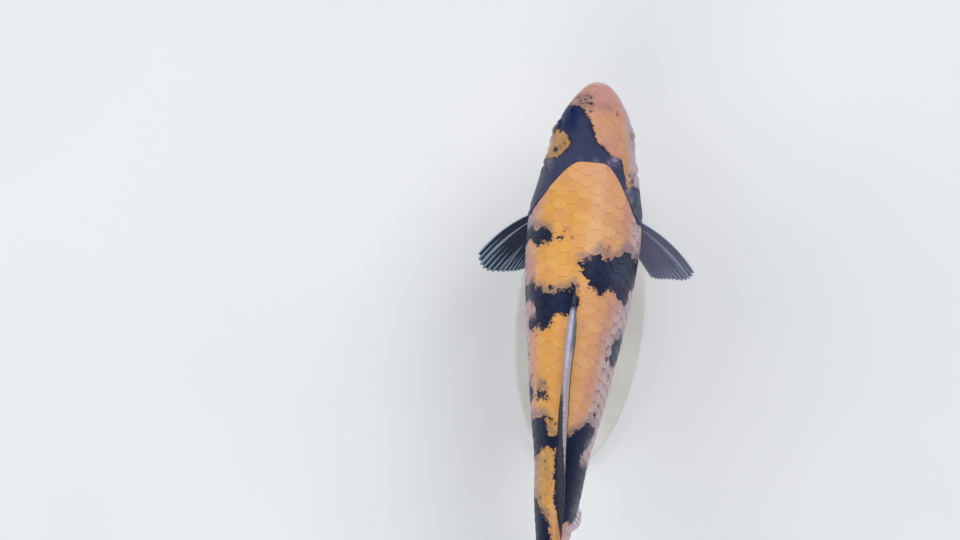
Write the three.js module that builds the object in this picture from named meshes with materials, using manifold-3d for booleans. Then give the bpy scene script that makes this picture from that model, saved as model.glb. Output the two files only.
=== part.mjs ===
// A koi carp, life size, as a still model on a display stand.
// Millimetres, +Z up. The head points to -Y and the fish's left side faces +X.
// The origin is the centre of the underside of the stand's base.

import * as THREE from 'three';
import { mergeVertices } from 'three/addons/utils/BufferGeometryUtils.js';
import Module from 'manifold-3d';

const wasm = await Module();
wasm.setup();

// Driving dimensions
const standardLength = 458; // snout to the end of the scaled body
const halfWidth = 48.6; // greatest half width of the body
const backHeight = 71.5; // greatest height of the back above the body's axis
const bellyDepth = 64.5; // greatest depth of the belly below it
const axisHeight = 142; // the body's axis above the floor
const standStation = 205; // how far behind the snout the stand is centred
const bowDepth = 2.2; // sideways bow of the midline
const headTurn = 2; // sideways shift of the snout, to the right, fading out behind the gill covers
const tailSway = 9; // sideways sweep of the tail fin, at tailLength behind the scaled body
const tailLength = 92;
const gap = 0.35; // clearance between neighbouring pieces

const noseRounding = 40; // length over which the snout rounds off, from above
const browRounding = 30; // the same, from the side
const tailRounding = 16; // length over which the tail stalk rounds off
const bodyLength = standardLength + 4;
const fullness = 2.12; // exponent of the section's outline: 2 is an ellipse, more is squarer
const trunkCuts = [222, 352]; // distances behind the snout where the trunk parts
const bodyRings = 38;
const bodySides = 32;

// Shares of the greatest half width, back height and belly depth, along the standard length
const bodyStations = [
  { along: 0.0, width: 0.48, back: 0.19, belly: 0.21 },
  { along: 0.09, width: 0.665, back: 0.46, belly: 0.45 },
  { along: 0.17, width: 0.85, back: 0.71, belly: 0.71 },
  { along: 0.25, width: 0.975, back: 0.88, belly: 0.89 },
  { along: 0.29, width: 1.0, back: 0.94, belly: 0.95 },
  { along: 0.36, width: 0.96, back: 1.0, belly: 1.0 },
  { along: 0.44, width: 0.875, back: 1.0, belly: 1.0 },
  { along: 0.53, width: 0.75, back: 0.93, belly: 0.94 },
  { along: 0.62, width: 0.615, back: 0.82, belly: 0.83 },
  { along: 0.7, width: 0.475, back: 0.69, belly: 0.69 },
  { along: 0.785, width: 0.39, back: 0.54, belly: 0.53 },
  { along: 0.87, width: 0.262, back: 0.43, belly: 0.41 },
  { along: 0.94, width: 0.21, back: 0.4, belly: 0.385 },
  { along: 1.0, width: 0.17, back: 0.43, belly: 0.42 },
];

const colours = {
  head: '#4d506b',
  snout: '#e0a089',
  orange: '#e6a14c',
  salmon: '#e0a274',
  indigo: '#2b2f4c',
  membrane: '#3d444f',
  paleFin: '#b7aeb6',
  eye: '#1a1714',
  barbel: '#d79a86',
  standBase: '#c9c7c2',
  standSteel: '#b8bcc2',
};

// Small helpers

function smoothStep(from, to, value) {
  return THREE.MathUtils.smoothstep(value, from, to);
}

// Smooth curve through evenly or unevenly spaced values, without overshoot beyond the ends
function curveThrough(places, values, at) {
  const last = places.length - 1;
  if (at <= places[0]) return values[0];
  if (at >= places[last]) return values[last];
  const i = places.findIndex((place, n) => n < last && at < places[n + 1]);
  const span = places[i + 1] - places[i];
  const slope = (n) => {
    const before = Math.max(n - 1, 0);
    const after = Math.min(n + 1, last);
    return (values[after] - values[before]) / (places[after] - places[before]);
  };
  const t = (at - places[i]) / span;
  const rise = values[i + 1] - values[i];
  const bendOut = slope(i) * span - rise;
  const bendIn = rise - slope(i + 1) * span;
  return values[i] + rise * t + t * (1 - t) * ((1 - t) * bendOut + t * bendIn);
}

function powered(value, exponent) {
  return Math.sign(value) * Math.abs(value) ** exponent;
}

// Moves every vertex of a three.js geometry, closes its seams and turns its faces outwards
function shaped(geometry, move) {
  const position = geometry.getAttribute('position');
  const point = new THREE.Vector3();
  for (let i = 0; i < position.count; i += 1) {
    point.fromBufferAttribute(position, i);
    move(point);
    position.setXYZ(i, point.x, point.y, point.z);
  }
  geometry.deleteAttribute('normal');
  geometry.deleteAttribute('uv');
  const closed = mergeVertices(geometry, 1e-4);
  if (volumeOf(closed) < 0) {
    const index = closed.getIndex();
    for (let i = 0; i < index.count; i += 3) {
      const second = index.getX(i + 1);
      index.setX(i + 1, index.getX(i + 2));
      index.setX(i + 2, second);
    }
  }
  return toSolid(closed);
}

function volumeOf(geometry) {
  const position = geometry.getAttribute('position');
  const index = geometry.getIndex();
  const [a, b, c] = [new THREE.Vector3(), new THREE.Vector3(), new THREE.Vector3()];
  let volume = 0;
  for (let i = 0; i < index.count; i += 3) {
    a.fromBufferAttribute(position, index.getX(i));
    b.fromBufferAttribute(position, index.getX(i + 1));
    c.fromBufferAttribute(position, index.getX(i + 2));
    volume += a.dot(b.cross(c)) / 6;
  }
  return volume;
}

function toSolid(geometry) {
  return new wasm.Manifold(new wasm.Mesh({
    numProp: 3,
    vertProperties: new Float32Array(geometry.getAttribute('position').array),
    triVerts: new Uint32Array(geometry.getIndex().array),
  }));
}

function toGeometry(solid) {
  const mesh = solid.getMesh();
  const geometry = new THREE.BufferGeometry();
  geometry.setAttribute('position', new THREE.BufferAttribute(mesh.vertProperties, 3));
  geometry.setIndex(new THREE.BufferAttribute(mesh.triVerts, 1));
  return geometry;
}

// The body's form

const stationPlaces = bodyStations.map((station) => station.along * standardLength);

function bodyValue(name, station) {
  return curveThrough(stationPlaces, bodyStations.map((entry) => entry[name]), station);
}

function roundedEnd(distance, length) {
  const share = 1 - THREE.MathUtils.clamp(distance / length, 0, 1);
  return Math.sqrt(Math.max(1 - share * share, 0));
}

// Half width, back and belly of the section at a distance behind the snout
function section(station, grow = 0) {
  const tail = roundedEnd(bodyLength + grow - station, tailRounding);
  const nose = roundedEnd(station + grow, noseRounding) * tail;
  const brow = roundedEnd(station + grow, browRounding) * tail;
  return {
    width: (bodyValue('width', station) * halfWidth + grow) * nose,
    back: (bodyValue('back', station) * backHeight + grow) * brow,
    belly: (bodyValue('belly', station) * bellyDepth + grow) * brow,
  };
}

function midline(station) {
  const past = Math.max(station - standardLength, 0) / tailLength;
  const bow = bowDepth * Math.sin((Math.PI * station) / standardLength);
  return tailSway * past * past - bow - headTurn * (1 - smoothStep(45, 120, station));
}

// A place on the fish: behind the snout, to its left, and above its axis
function place(station, left, up) {
  return new THREE.Vector3(midline(station) + left, station - standStation, axisHeight + up);
}

function bodySolid(grow = 0) {
  return shaped(new THREE.SphereGeometry(1, bodySides, bodyRings), (point) => {
    const turn = Math.acos(THREE.MathUtils.clamp(point.y, -1, 1)) / Math.PI;
    const even = 0.45 * turn + 0.55 * (0.5 - 0.5 * Math.cos(Math.PI * turn));
    const station = even * (bodyLength + 2 * grow) - grow;
    const round = Math.hypot(point.x, point.z) || 1;
    const side = powered(point.x / round, 2 / fullness);
    const height = powered(-point.z / round, 2 / fullness);
    const { width, back, belly } = section(station, grow);
    point.copy(place(station, side * width, height * (height > 0 ? back : belly)));
  });
}

// Height of the back, or of the belly, at a distance to the side
function surfaceHeight(station, left, name) {
  const { width, [name]: height } = section(station);
  const share = THREE.MathUtils.clamp(Math.abs(left) / Math.max(width, 1e-6), 0, 1);
  const rise = height * (1 - share ** fullness) ** (1 / fullness);
  return name === 'back' ? rise : -rise;
}

// Cutting the body

// All that lies ahead of a cut: cut(left, up) gives its distance behind the snout
function aheadOf(cut, shift = 0) {
  const reach = 90;
  const cells = cut.length > 0 ? 12 : 1;
  const block = new THREE.BoxGeometry(2 * reach, 1, 2 * reach, cells, 1, cells);
  return shaped(block, (point) => {
    const station = point.y < 0 ? -30 : cut(point.x, point.z) + shift;
    point.set(point.x, station - standStation, axisHeight + point.z);
  });
}

function parted(solid, cut) {
  return [solid.intersect(aheadOf(cut, -gap / 2)), solid.subtract(aheadOf(cut, gap / 2))];
}

// The head ends at the nape above, behind the gill covers at the sides and at the throat below
const head = { nape: 72, gillEdge: 118, throat: 84 };

function shoulder(left, up) {
  const { width, back, belly } = section(100);
  const angle = THREE.MathUtils.radToDeg(Math.atan2(Math.abs(left) / width, up / (up > 0 ? back : belly)));
  const sweep = (head.gillEdge - head.nape) * smoothStep(14, 74, angle);
  const tuck = (head.gillEdge - head.throat) * smoothStep(108, 178, angle);
  const spread = smoothStep(0.1, 0.9, Math.hypot(left / width, up / back));
  return head.nape + 12 * (1 - spread) + (sweep - tuck) * spread;
}

const jaw = { rear: 56, halfWidth: 26, level: -5, slope: 0.34 };

function jawBlock(grow) {
  const length = jaw.rear + 30;
  const block = new THREE.BoxGeometry(2 * (jaw.halfWidth + grow), length + grow, 90);
  return shaped(block, (point) => {
    const station = point.y + grow / 2 + length / 2 - 30;
    const top = jaw.level - jaw.slope * Math.max(station, 0) + grow;
    point.copy(place(0, point.x, point.z > 0 ? top : -90));
    point.y = station - standStation;
  });
}

function lipRear(left) {
  return 8.5 + 0.012 * left * left;
}

// Outline of a gill cover, drawn in station and height, and pushed out through the cheek
const gillCover = { front: 72, rear: 118, top: 27, bottom: -37, innerSide: 24, corner: 17 };

function gillCoverBlock(side, grow) {
  const { front, rear, top, bottom, innerSide, corner } = gillCover;
  const outline = new THREE.Shape();
  outline.moveTo(front - grow, bottom + 14);
  outline.lineTo(front + 4 - grow, top - corner);
  outline.quadraticCurveTo(front + 7, top + grow, front + 21, top + grow);
  outline.quadraticCurveTo(rear + 8, top + grow, rear + 6, -4);
  outline.quadraticCurveTo(rear + 2, bottom - grow, front + 15, bottom - grow);
  outline.closePath();
  const inner = innerSide - grow;
  const block = new THREE.ExtrudeGeometry(outline, { depth: 40, bevelEnabled: false, curveSegments: 5 });
  return shaped(block, (point) => {
    point.set(side * (inner + point.z), point.x - standStation, axisHeight + point.y);
  });
}

// Fins

// Rays fan out from a base line, the leading ones bent back; each fin is a thin solid along them
function finSolid(fin) {
  const { base, baseEnd, back, out, angles, bend = 0, rays, cup = 0, thickness = [1.8, 0.8] } = fin;
  const start = place(...base);
  const end = place(...baseEnd);
  const backward = new THREE.Vector3(...back).normalize();
  const outward = new THREE.Vector3(...out).normalize();
  const normal = new THREE.Vector3().crossVectors(backward, outward).normalize();
  const rayPlaces = rays.map((ray, i) => i / (rays.length - 1));
  return shaped(new THREE.BoxGeometry(1, 1, 1, 10, 5, 1), (point) => {
    const share = point.x + 0.5;
    const reach = point.y + 0.5;
    const turn = THREE.MathUtils.lerp(angles[0], angles[1], share) + bend * (1 - share) ** 2 * (1 - reach);
    const angle = THREE.MathUtils.degToRad(turn);
    const length = curveThrough(rayPlaces, rays, share) * reach;
    const half = THREE.MathUtils.lerp(thickness[0], thickness[1], reach) * point.z;
    point.lerpVectors(start, end, share);
    point.addScaledVector(backward, length * Math.cos(angle));
    point.addScaledVector(outward, length * Math.sin(angle));
    point.addScaledVector(normal, half + cup * reach * reach);
    point.x += tailSwayOf(point.y + standStation);
  });
}

function tailSwayOf(station) {
  return midline(station) - midline(Math.min(station, standardLength));
}

const pectoralLeft = {
  base: [108, 37, -33],
  baseEnd: [132, 38, -40],
  back: [0, 1, -0.05],
  out: [1, 0, -0.12],
  angles: [52.5, 22],
  bend: 22.5,
  rays: [70, 70.5, 66, 56.5, 47.5, 39.5, 31],
  cup: -3,
};

const pectoralRight = {
  base: [108.5, -37, -33],
  baseEnd: [131, -38, -40],
  back: [0, 1, -0.05],
  out: [-1, 0, -0.1],
  angles: [55.5, 38],
  bend: 25.5,
  rays: [73, 70, 63.5, 55, 48.5, 42.5, 35],
  cup: 3,
};

function pelvicFin(side) {
  return {
    base: [207, side * 19, -53],
    baseEnd: [226, side * 12, -55],
    back: [0, 1, 0],
    out: [side * 0.22, 0, -0.97],
    angles: [36, 8],
    rays: [66, 68, 62, 54, 44, 34],
    cup: side * 3,
  };
}

const analFin = {
  base: [345, 0, -33],
  baseEnd: [381, 0, -26],
  back: [0, 1, 0],
  out: [-0.46, 0, -0.89],
  angles: [54, 24],
  rays: [50, 52, 42, 32, 26, 22],
  cup: 2,
};

function tailLobe(side) {
  return {
    base: [446, 0, side > 0 ? 27.5 : -25.5],
    baseEnd: [450, 0, side * 0.4],
    back: [0, 1, 0],
    out: [0, 0, side],
    angles: [26, 0.6],
    rays: [100, 113, 110, 100, 86, 73, 62],
    thickness: [4, 1],
  };
}

// The dorsal fin is folded back: its rays lie one over another in a low ridge along the back,
// which leans a little left in front and further right behind
const dorsalFin = {
  front: 174,
  baseEnd: 352,
  tip: 381,
  crest: 16,
  rearHeight: 10,
  halfWidth: 5.2,
  sunk: 5, // how deep its root lies in the back
  tipLift: 3, // how far its tip stands off the back
};

function dorsalSolid() {
  const { front, baseEnd, tip, crest, rearHeight, halfWidth: widest, sunk, tipLift } = dorsalFin;
  const places = [0, 0.08, 0.3, 0.5, 0.8, 1];
  const heights = [0.5, 0.34 * crest, crest, 0.84 * crest, rearHeight, 0.15 * rearHeight];
  const widths = [0.25, 0.5, 0.85, 1, 0.8, 0.16];
  const leans = [0.5, 1, 2, 0.3, -7.2, -5];
  return shaped(new THREE.BoxGeometry(1, 1, 1, 24, 3, 2), (point) => {
    const share = point.x + 0.5;
    const level = point.y + 0.5;
    const station = front + (tip - front) * share;
    const root = surfaceHeight(Math.min(station, baseEnd), 0, 'back');
    const lift = tipLift * smoothStep(baseEnd, tip, station);
    const height = curveThrough(places, heights, share);
    const half = widest * curveThrough(places, widths, share) * (1 - 0.72 * level);
    const lean = curveThrough(places, leans, share) * level;
    const drop = root - surfaceHeight(station, 0, 'back');
    const up = root - drop + lift - sunk * (1 - level) + height * level;
    point.copy(place(station, 2 * point.z * half + lean, up));
  });
}

// Eyes and barbels

const eye = { station: 45, up: 8, radius: 9.2, proud: 2.3 };

function eyeSolid(side, grow = 0) {
  const { width, back } = section(eye.station);
  const cheek = width * (1 - (eye.up / back) ** fullness) ** (1 / fullness);
  const centre = place(eye.station, side * (cheek + eye.proud - eye.radius), eye.up);
  return shaped(new THREE.SphereGeometry(eye.radius + grow, 14, 8), (point) => point.add(centre));
}

// A tapered feeler along a bent line from its root
function barbelSolid(side, { root, middle, tip, radius }) {
  const [a, b, c] = [root, middle, tip].map(([station, left, up]) => place(station, side * left, up));
  const line = new THREE.QuadraticBezierCurve3(a, b, c);
  const across = new THREE.Vector3(0, 0, 1);
  return shaped(new THREE.CylinderGeometry(1, 1, 1, 7, 6), (point) => {
    const share = point.y + 0.5;
    const along = line.getTangent(share);
    const first = new THREE.Vector3().crossVectors(along, across).normalize();
    const second = new THREE.Vector3().crossVectors(along, first);
    const thick = THREE.MathUtils.lerp(radius, 0.4 * radius, share);
    const [x, z] = [point.x * thick, point.z * thick];
    point.copy(line.getPoint(share)).addScaledVector(first, x).addScaledVector(second, z);
  });
}

const barbels = {
  lip: { root: [7, 11, -1], middle: [7, 14.5, -6], tip: [11, 15, -12], radius: 1.1 },
  mouth: { root: [15, 18, -9], middle: [17, 21.5, -19], tip: [28, 22, -27], radius: 1.6 },
};

// Stand

const stand = {
  length: 280,
  width: 120,
  thickness: 15,
  bevel: 3,
  rodRadius: 4,
  footRadius: 13,
  footHeight: 5,
  rodStations: { front: 148, rear: 268 },
  socketDepth: 14,
};

function standBase() {
  const { length, width, thickness, bevel } = stand;
  const reach = length / 2;
  const profile = [
    [0, 0],
    [reach - 1, 0],
    [reach, 1],
    [reach, thickness - bevel],
    [reach - 0.3 * bevel, thickness - 0.3 * bevel],
    [reach - bevel, thickness],
    [0, thickness],
  ];
  const disc = new THREE.LatheGeometry(profile.map(([r, z]) => new THREE.Vector2(r, z)), 40);
  return shaped(disc, (point) => point.set((point.x * width) / length, -point.z, point.y));
}

// A solid of revolution about a vertical axis under the fish, from radius and height pairs
function turned(station, profile) {
  const lathe = new THREE.LatheGeometry(profile.map(([r, z]) => new THREE.Vector2(r, z)), 18);
  return shaped(lathe, (point) => {
    point.set(point.x + midline(station), station - standStation - point.z, point.y);
  });
}

function standFoot(station) {
  const { thickness, footRadius, footHeight } = stand;
  const bottom = thickness + gap;
  return turned(station, [
    [0, bottom],
    [footRadius, bottom],
    [footRadius, bottom + 0.6 * footHeight],
    [0.7 * footRadius, bottom + footHeight],
    [0, bottom + footHeight],
  ]);
}

function standRod(station, grow = 0) {
  const { thickness, rodRadius, footHeight, socketDepth } = stand;
  const bottom = thickness + footHeight + 2 * gap - grow;
  const tip = axisHeight + surfaceHeight(station, 0, 'belly') + socketDepth + grow;
  return turned(station, [
    [0, bottom],
    [rodRadius + grow, bottom],
    [rodRadius + grow, tip - 1],
    [rodRadius + grow - 1, tip],
    [0, tip],
  ]);
}

// The assembled fish

const model = new THREE.Group();

function addNode(name, solid, colour, roughness = 0.35, metalness = 0) {
  const material = new THREE.MeshStandardMaterial({ color: colour, roughness, metalness });
  const mesh = new THREE.Mesh(toGeometry(solid), material);
  mesh.name = name;
  model.add(mesh);
}

function addHead(wholeHead) {
  let skull = wholeHead;
  for (const [side, name] of [[1, 'left'], [-1, 'right']]) {
    addNode(`eye_${name}`, eyeSolid(side), colours.eye, 0.1);
    skull = skull.subtract(eyeSolid(side, gap));
    addNode(`gill_cover_${name}`, skull.intersect(gillCoverBlock(side, 0)), colours.head);
    skull = skull.subtract(gillCoverBlock(side, gap));
    for (const [kind, form] of Object.entries(barbels)) {
      const feeler = barbelSolid(side, form).subtract(bodySolid(gap));
      addNode(`barbel_${kind}_${name}`, feeler, colours.barbel, 0.5);
    }
  }
  addNode('lower_jaw', skull.intersect(jawBlock(0)), colours.snout);
  skull = skull.subtract(jawBlock(gap));
  const [upperLip, cranium] = parted(skull, lipRear);
  addNode('upper_lip', upperLip, colours.snout);
  addNode('head', cranium, colours.head);
}

function addTrunk(wholeTrunk) {
  const { front, rear } = stand.rodStations;
  const held = wholeTrunk.subtract(standRod(front, gap)).subtract(standRod(rear, gap));
  const [trunkFront, behind] = parted(held, () => trunkCuts[0]);
  const [trunkRear, tailStalk] = parted(behind, () => trunkCuts[1]);
  addNode('trunk_front', trunkFront, colours.orange);
  addNode('trunk_rear', trunkRear, colours.salmon);
  addNode('tail_stalk', tailStalk, colours.indigo);
}

function addFins() {
  const flesh = bodySolid(gap);
  const onBody = (solid) => solid.subtract(flesh);
  addNode('dorsal_fin', onBody(dorsalSolid()), colours.paleFin);
  addNode('pectoral_fin_left', onBody(finSolid(pectoralLeft)), colours.membrane);
  addNode('pectoral_fin_right', onBody(finSolid(pectoralRight)), colours.membrane);
  addNode('pelvic_fin_left', onBody(finSolid(pelvicFin(1))), colours.membrane);
  addNode('pelvic_fin_right', onBody(finSolid(pelvicFin(-1))), colours.membrane);
  addNode('anal_fin', onBody(finSolid(analFin)), colours.barbel);
  addNode('tail_fin_upper', onBody(finSolid(tailLobe(1))), colours.membrane);
  addNode('tail_fin_lower', onBody(finSolid(tailLobe(-1))), colours.membrane);
}

function addStand() {
  addNode('stand_base', standBase(), colours.standBase, 0.6);
  for (const [name, station] of Object.entries(stand.rodStations)) {
    addNode(`stand_foot_${name}`, standFoot(station), colours.standSteel, 0.3, 1);
    addNode(`stand_rod_${name}`, standRod(station), colours.standSteel, 0.3, 1);
  }
}

const [wholeHead, wholeTrunk] = parted(bodySolid(), shoulder);
addHead(wholeHead);
addTrunk(wholeTrunk);
addFins();
addStand();

export default model;
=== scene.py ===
# Koi carp, life size, on a display stand: skin, scales, fins, eyes, barbels and stand round the frame
import bpy
import bmesh
import math
import numpy as np
from mathutils import Matrix, Vector, noise


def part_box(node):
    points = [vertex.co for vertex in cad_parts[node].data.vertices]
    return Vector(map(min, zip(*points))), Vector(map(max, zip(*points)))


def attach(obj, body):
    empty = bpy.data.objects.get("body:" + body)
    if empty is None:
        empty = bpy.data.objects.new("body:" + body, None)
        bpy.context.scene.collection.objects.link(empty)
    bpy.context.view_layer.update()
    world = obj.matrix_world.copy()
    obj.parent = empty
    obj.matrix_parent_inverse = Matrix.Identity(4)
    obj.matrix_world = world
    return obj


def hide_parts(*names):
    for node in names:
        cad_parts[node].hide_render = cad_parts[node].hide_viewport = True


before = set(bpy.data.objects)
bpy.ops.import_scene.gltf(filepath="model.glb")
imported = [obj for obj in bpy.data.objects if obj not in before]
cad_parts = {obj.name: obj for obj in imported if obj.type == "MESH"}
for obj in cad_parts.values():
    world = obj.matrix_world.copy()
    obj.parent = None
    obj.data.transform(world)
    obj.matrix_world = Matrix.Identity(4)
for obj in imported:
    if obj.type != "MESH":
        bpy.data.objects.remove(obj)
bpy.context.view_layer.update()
mm = 0.001
randomDraws = np.random.default_rng(7)

# the fish's form, as in the solids
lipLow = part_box("upper_lip")[0]
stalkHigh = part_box("tail_stalk")[1]
trunkLow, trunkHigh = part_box("trunk_front")

form = {
    "along": [0, 0.09, 0.17, 0.25, 0.29, 0.36, 0.44, 0.53, 0.62, 0.7, 0.785, 0.87, 0.94, 1],
    "width": [0.48, 0.665, 0.85, 0.975, 1, 0.96, 0.875, 0.75, 0.615, 0.475, 0.39, 0.262, 0.21, 0.17],
    "back": [0.19, 0.46, 0.71, 0.88, 0.94, 1, 1, 0.93, 0.82, 0.69, 0.54, 0.43, 0.4, 0.43],
    "belly": [0.21, 0.45, 0.71, 0.89, 0.95, 1, 1, 0.94, 0.83, 0.69, 0.53, 0.41, 0.385, 0.42],
    "fullness": 2.12,
    "noseRounding": 40,  # these lengths are in mm
    "browRounding": 30,
    "tailRounding": 16,
    "tailOverrun": 4,
    "bow": 2.2,
    "headTurn": 2,
    "headTurnFades": (120, 45),
    "cheekTurn": (1.4, 56, 22),  # sideways shift to the left, where, and how far it spreads
    "tailSway": 9,
    "tailLength": 92,
    "flatRange": (20, 440),  # the skin is laid flat with the round lengths found between these
    "backShare": 0.526,  # of the body's depth, above its axis
    "nape": 72,
    "gillEdge": 118,
    "throat": 84,
}
snoutY = lipLow.y / mm
bodyLength = stalkHigh.y / mm - snoutY
standardLength = bodyLength - form["tailOverrun"]
bodyDepth = (trunkHigh.z - trunkLow.z) / mm
backHeight = bodyDepth * form["backShare"]
bellyDepth = bodyDepth - backHeight
halfWidth = (trunkHigh.x - trunkLow.x) / 2 / mm
axisHeight = trunkLow.z / mm + bellyDepth


def curveThrough(places, values, at):
    # smooth curve through unevenly spaced values
    places, values, at = (np.asarray(x, float) for x in (places, values, at))
    last = len(places) - 1
    before = np.maximum(np.arange(last + 1) - 1, 0)
    after = np.minimum(np.arange(last + 1) + 1, last)
    slopes = (values[after] - values[before]) / (places[after] - places[before])
    at = np.clip(at, places[0], places[-1])
    i = np.clip(np.searchsorted(places, at, side="right") - 1, 0, last - 1)
    span = places[i + 1] - places[i]
    t = (at - places[i]) / span
    rise = values[i + 1] - values[i]
    bend = (1 - t) * (slopes[i] * span - rise) + t * (rise - slopes[i + 1] * span)
    return values[i] + rise * t + t * (1 - t) * bend


def smoothStep(low, high, value):
    t = np.clip((np.asarray(value, float) - low) / (high - low), 0, 1)
    return t * t * (3 - 2 * t)


def bell(distance, width):
    return np.exp(-(np.asarray(distance, float) / width) ** 2)


def roundedEnd(distance, length):
    share = 1 - np.clip(distance / length, 0, 1)
    return np.sqrt(np.maximum(1 - share * share, 0))


def powered(value, exponent):
    return np.sign(value) * np.abs(value) ** exponent


def midline(station):
    past = np.maximum(station - standardLength, 0) / form["tailLength"]
    bow = form["bow"] * np.sin(math.pi * station / standardLength)
    amount, middle, spread = form["cheekTurn"]
    cheek = amount * bell(station - middle, spread)
    turned = form["headTurn"] * smoothStep(*form["headTurnFades"], station) - cheek
    return form["tailSway"] * past * past - bow - turned


def section(station):
    # half width, back and belly of the section at a distance behind the snout
    places = np.array(form["along"]) * standardLength
    tail = roundedEnd(bodyLength - station, form["tailRounding"])
    nose = roundedEnd(station, form["noseRounding"]) * tail
    brow = roundedEnd(station, form["browRounding"]) * tail
    width = curveThrough(places, form["width"], station) * halfWidth * nose
    back = curveThrough(places, form["back"], station) * backHeight * brow
    belly = curveThrough(places, form["belly"], station) * bellyDepth * brow
    return width, back, belly


def bodyPoint(station, angle):
    # angle in degrees from the middle of the back, positive to the fish's left
    station, angle = np.broadcast_arrays(np.asarray(station, float), np.asarray(angle, float))
    width, back, belly = section(station)
    turn = np.radians(angle)
    side = powered(np.sin(turn), 2 / form["fullness"]) * width
    up = powered(np.cos(turn), 2 / form["fullness"])
    up = up * np.where(up > 0, back, belly)
    return np.stack([midline(station) + side, snoutY + station, axisHeight + up], -1)


def bodyNormal(station, angle):
    inner = np.clip(station, 2, bodyLength - 3)
    alongLine = bodyPoint(inner + 1, angle) - bodyPoint(inner - 1, angle)
    aroundLine = bodyPoint(inner, angle + 1.5) - bodyPoint(inner, angle - 1.5)
    out = np.cross(aroundLine, alongLine)
    return out / np.maximum(np.linalg.norm(out, axis=-1, keepdims=True), 1e-9)


def shoulder(angle):
    # where the head ends: at the nape, behind the gill covers and at the throat
    lean = np.abs(angle)
    swept = np.where(angle > 0, smoothStep(6, 78, lean), smoothStep(15, 74, lean))
    sweep = (form["gillEdge"] - form["nape"]) * swept
    tuck = (form["gillEdge"] - form["throat"]) * smoothStep(108, 178, lean)
    return form["nape"] + sweep - tuck


# lengths round half a section, measured once: angle <-> distance from the middle of the back
ringSpacing = 2.0
ringStations = np.arange(0.5, bodyLength, ringSpacing)
ringAngles = np.linspace(0, 180, 91)
ringPoints = bodyPoint(ringStations[:, None], ringAngles[None, :])
ringSteps = np.linalg.norm(np.diff(ringPoints, axis=1), axis=2)
ringArcs = np.concatenate([np.zeros((len(ringStations), 1)), np.cumsum(ringSteps, axis=1)], axis=1)
flankArc = ringArcs[:, 45]
wholeArc = ringArcs[:, 90]
arcShares = np.linspace(0, 1, 121)
angleOfShare = np.array([np.interp(arcShares * arc[-1], arc, ringAngles) for arc in ringArcs])


def toFlank(station):
    return np.interp(station, ringStations, flankArc)


def toBelly(station):
    return np.interp(station, ringStations, wholeArc)


def angleAt(station, arc):
    # arc in mm from the middle of the back, positive to the left
    share = np.clip(np.abs(arc) / toBelly(station), 0, 1) * (len(arcShares) - 1)
    row = np.clip((station - ringStations[0]) / ringSpacing, 0, len(ringStations) - 1.001)
    i, j = row.astype(int), np.minimum(share.astype(int), len(arcShares) - 2)
    u, v = row - i, share - j
    near = angleOfShare[i, j] * (1 - v) + angleOfShare[i, j + 1] * v
    far = angleOfShare[i + 1, j] * (1 - v) + angleOfShare[i + 1, j + 1] * v
    return np.sign(arc) * (near * (1 - u) + far * u)


print("form ready: length", round(bodyLength), "mm, depth", round(bodyDepth), "mm")

# markings
# outlines of the black patches: distance behind the snout in mm, degrees round from the back,
# positive to the left
headPatches = {
    "crown": [
        (22, 60), (22, 46), (23, 32), (25, 24), (26, 18), (30, 14), (33, 9), (36, 4), (39, 2), (43, 0),
        (47, -3), (51, -6), (54, -8), (56, -15), (60, -21), (63, -26), (66, -32), (65, -37), (66, -41),
        (72, -43), (80, -45), (88, -47), (90, -52), (87, -58), (86, -66), (87, -80), (92, -104),
        (100, -118), (132, -118), (132, 118), (100, 116), (84, 98), (74, 84), (70, 74), (70, 62), (69, 54),
        (67, 47), (68, 42), (66, 36), (63, 31), (60, 26), (56, 27), (53, 30), (49, 36), (47, 43), (47, 52),
        (45, 62), (44, 80), (40, 100), (30, 96), (23, 78),
    ],
}
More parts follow.
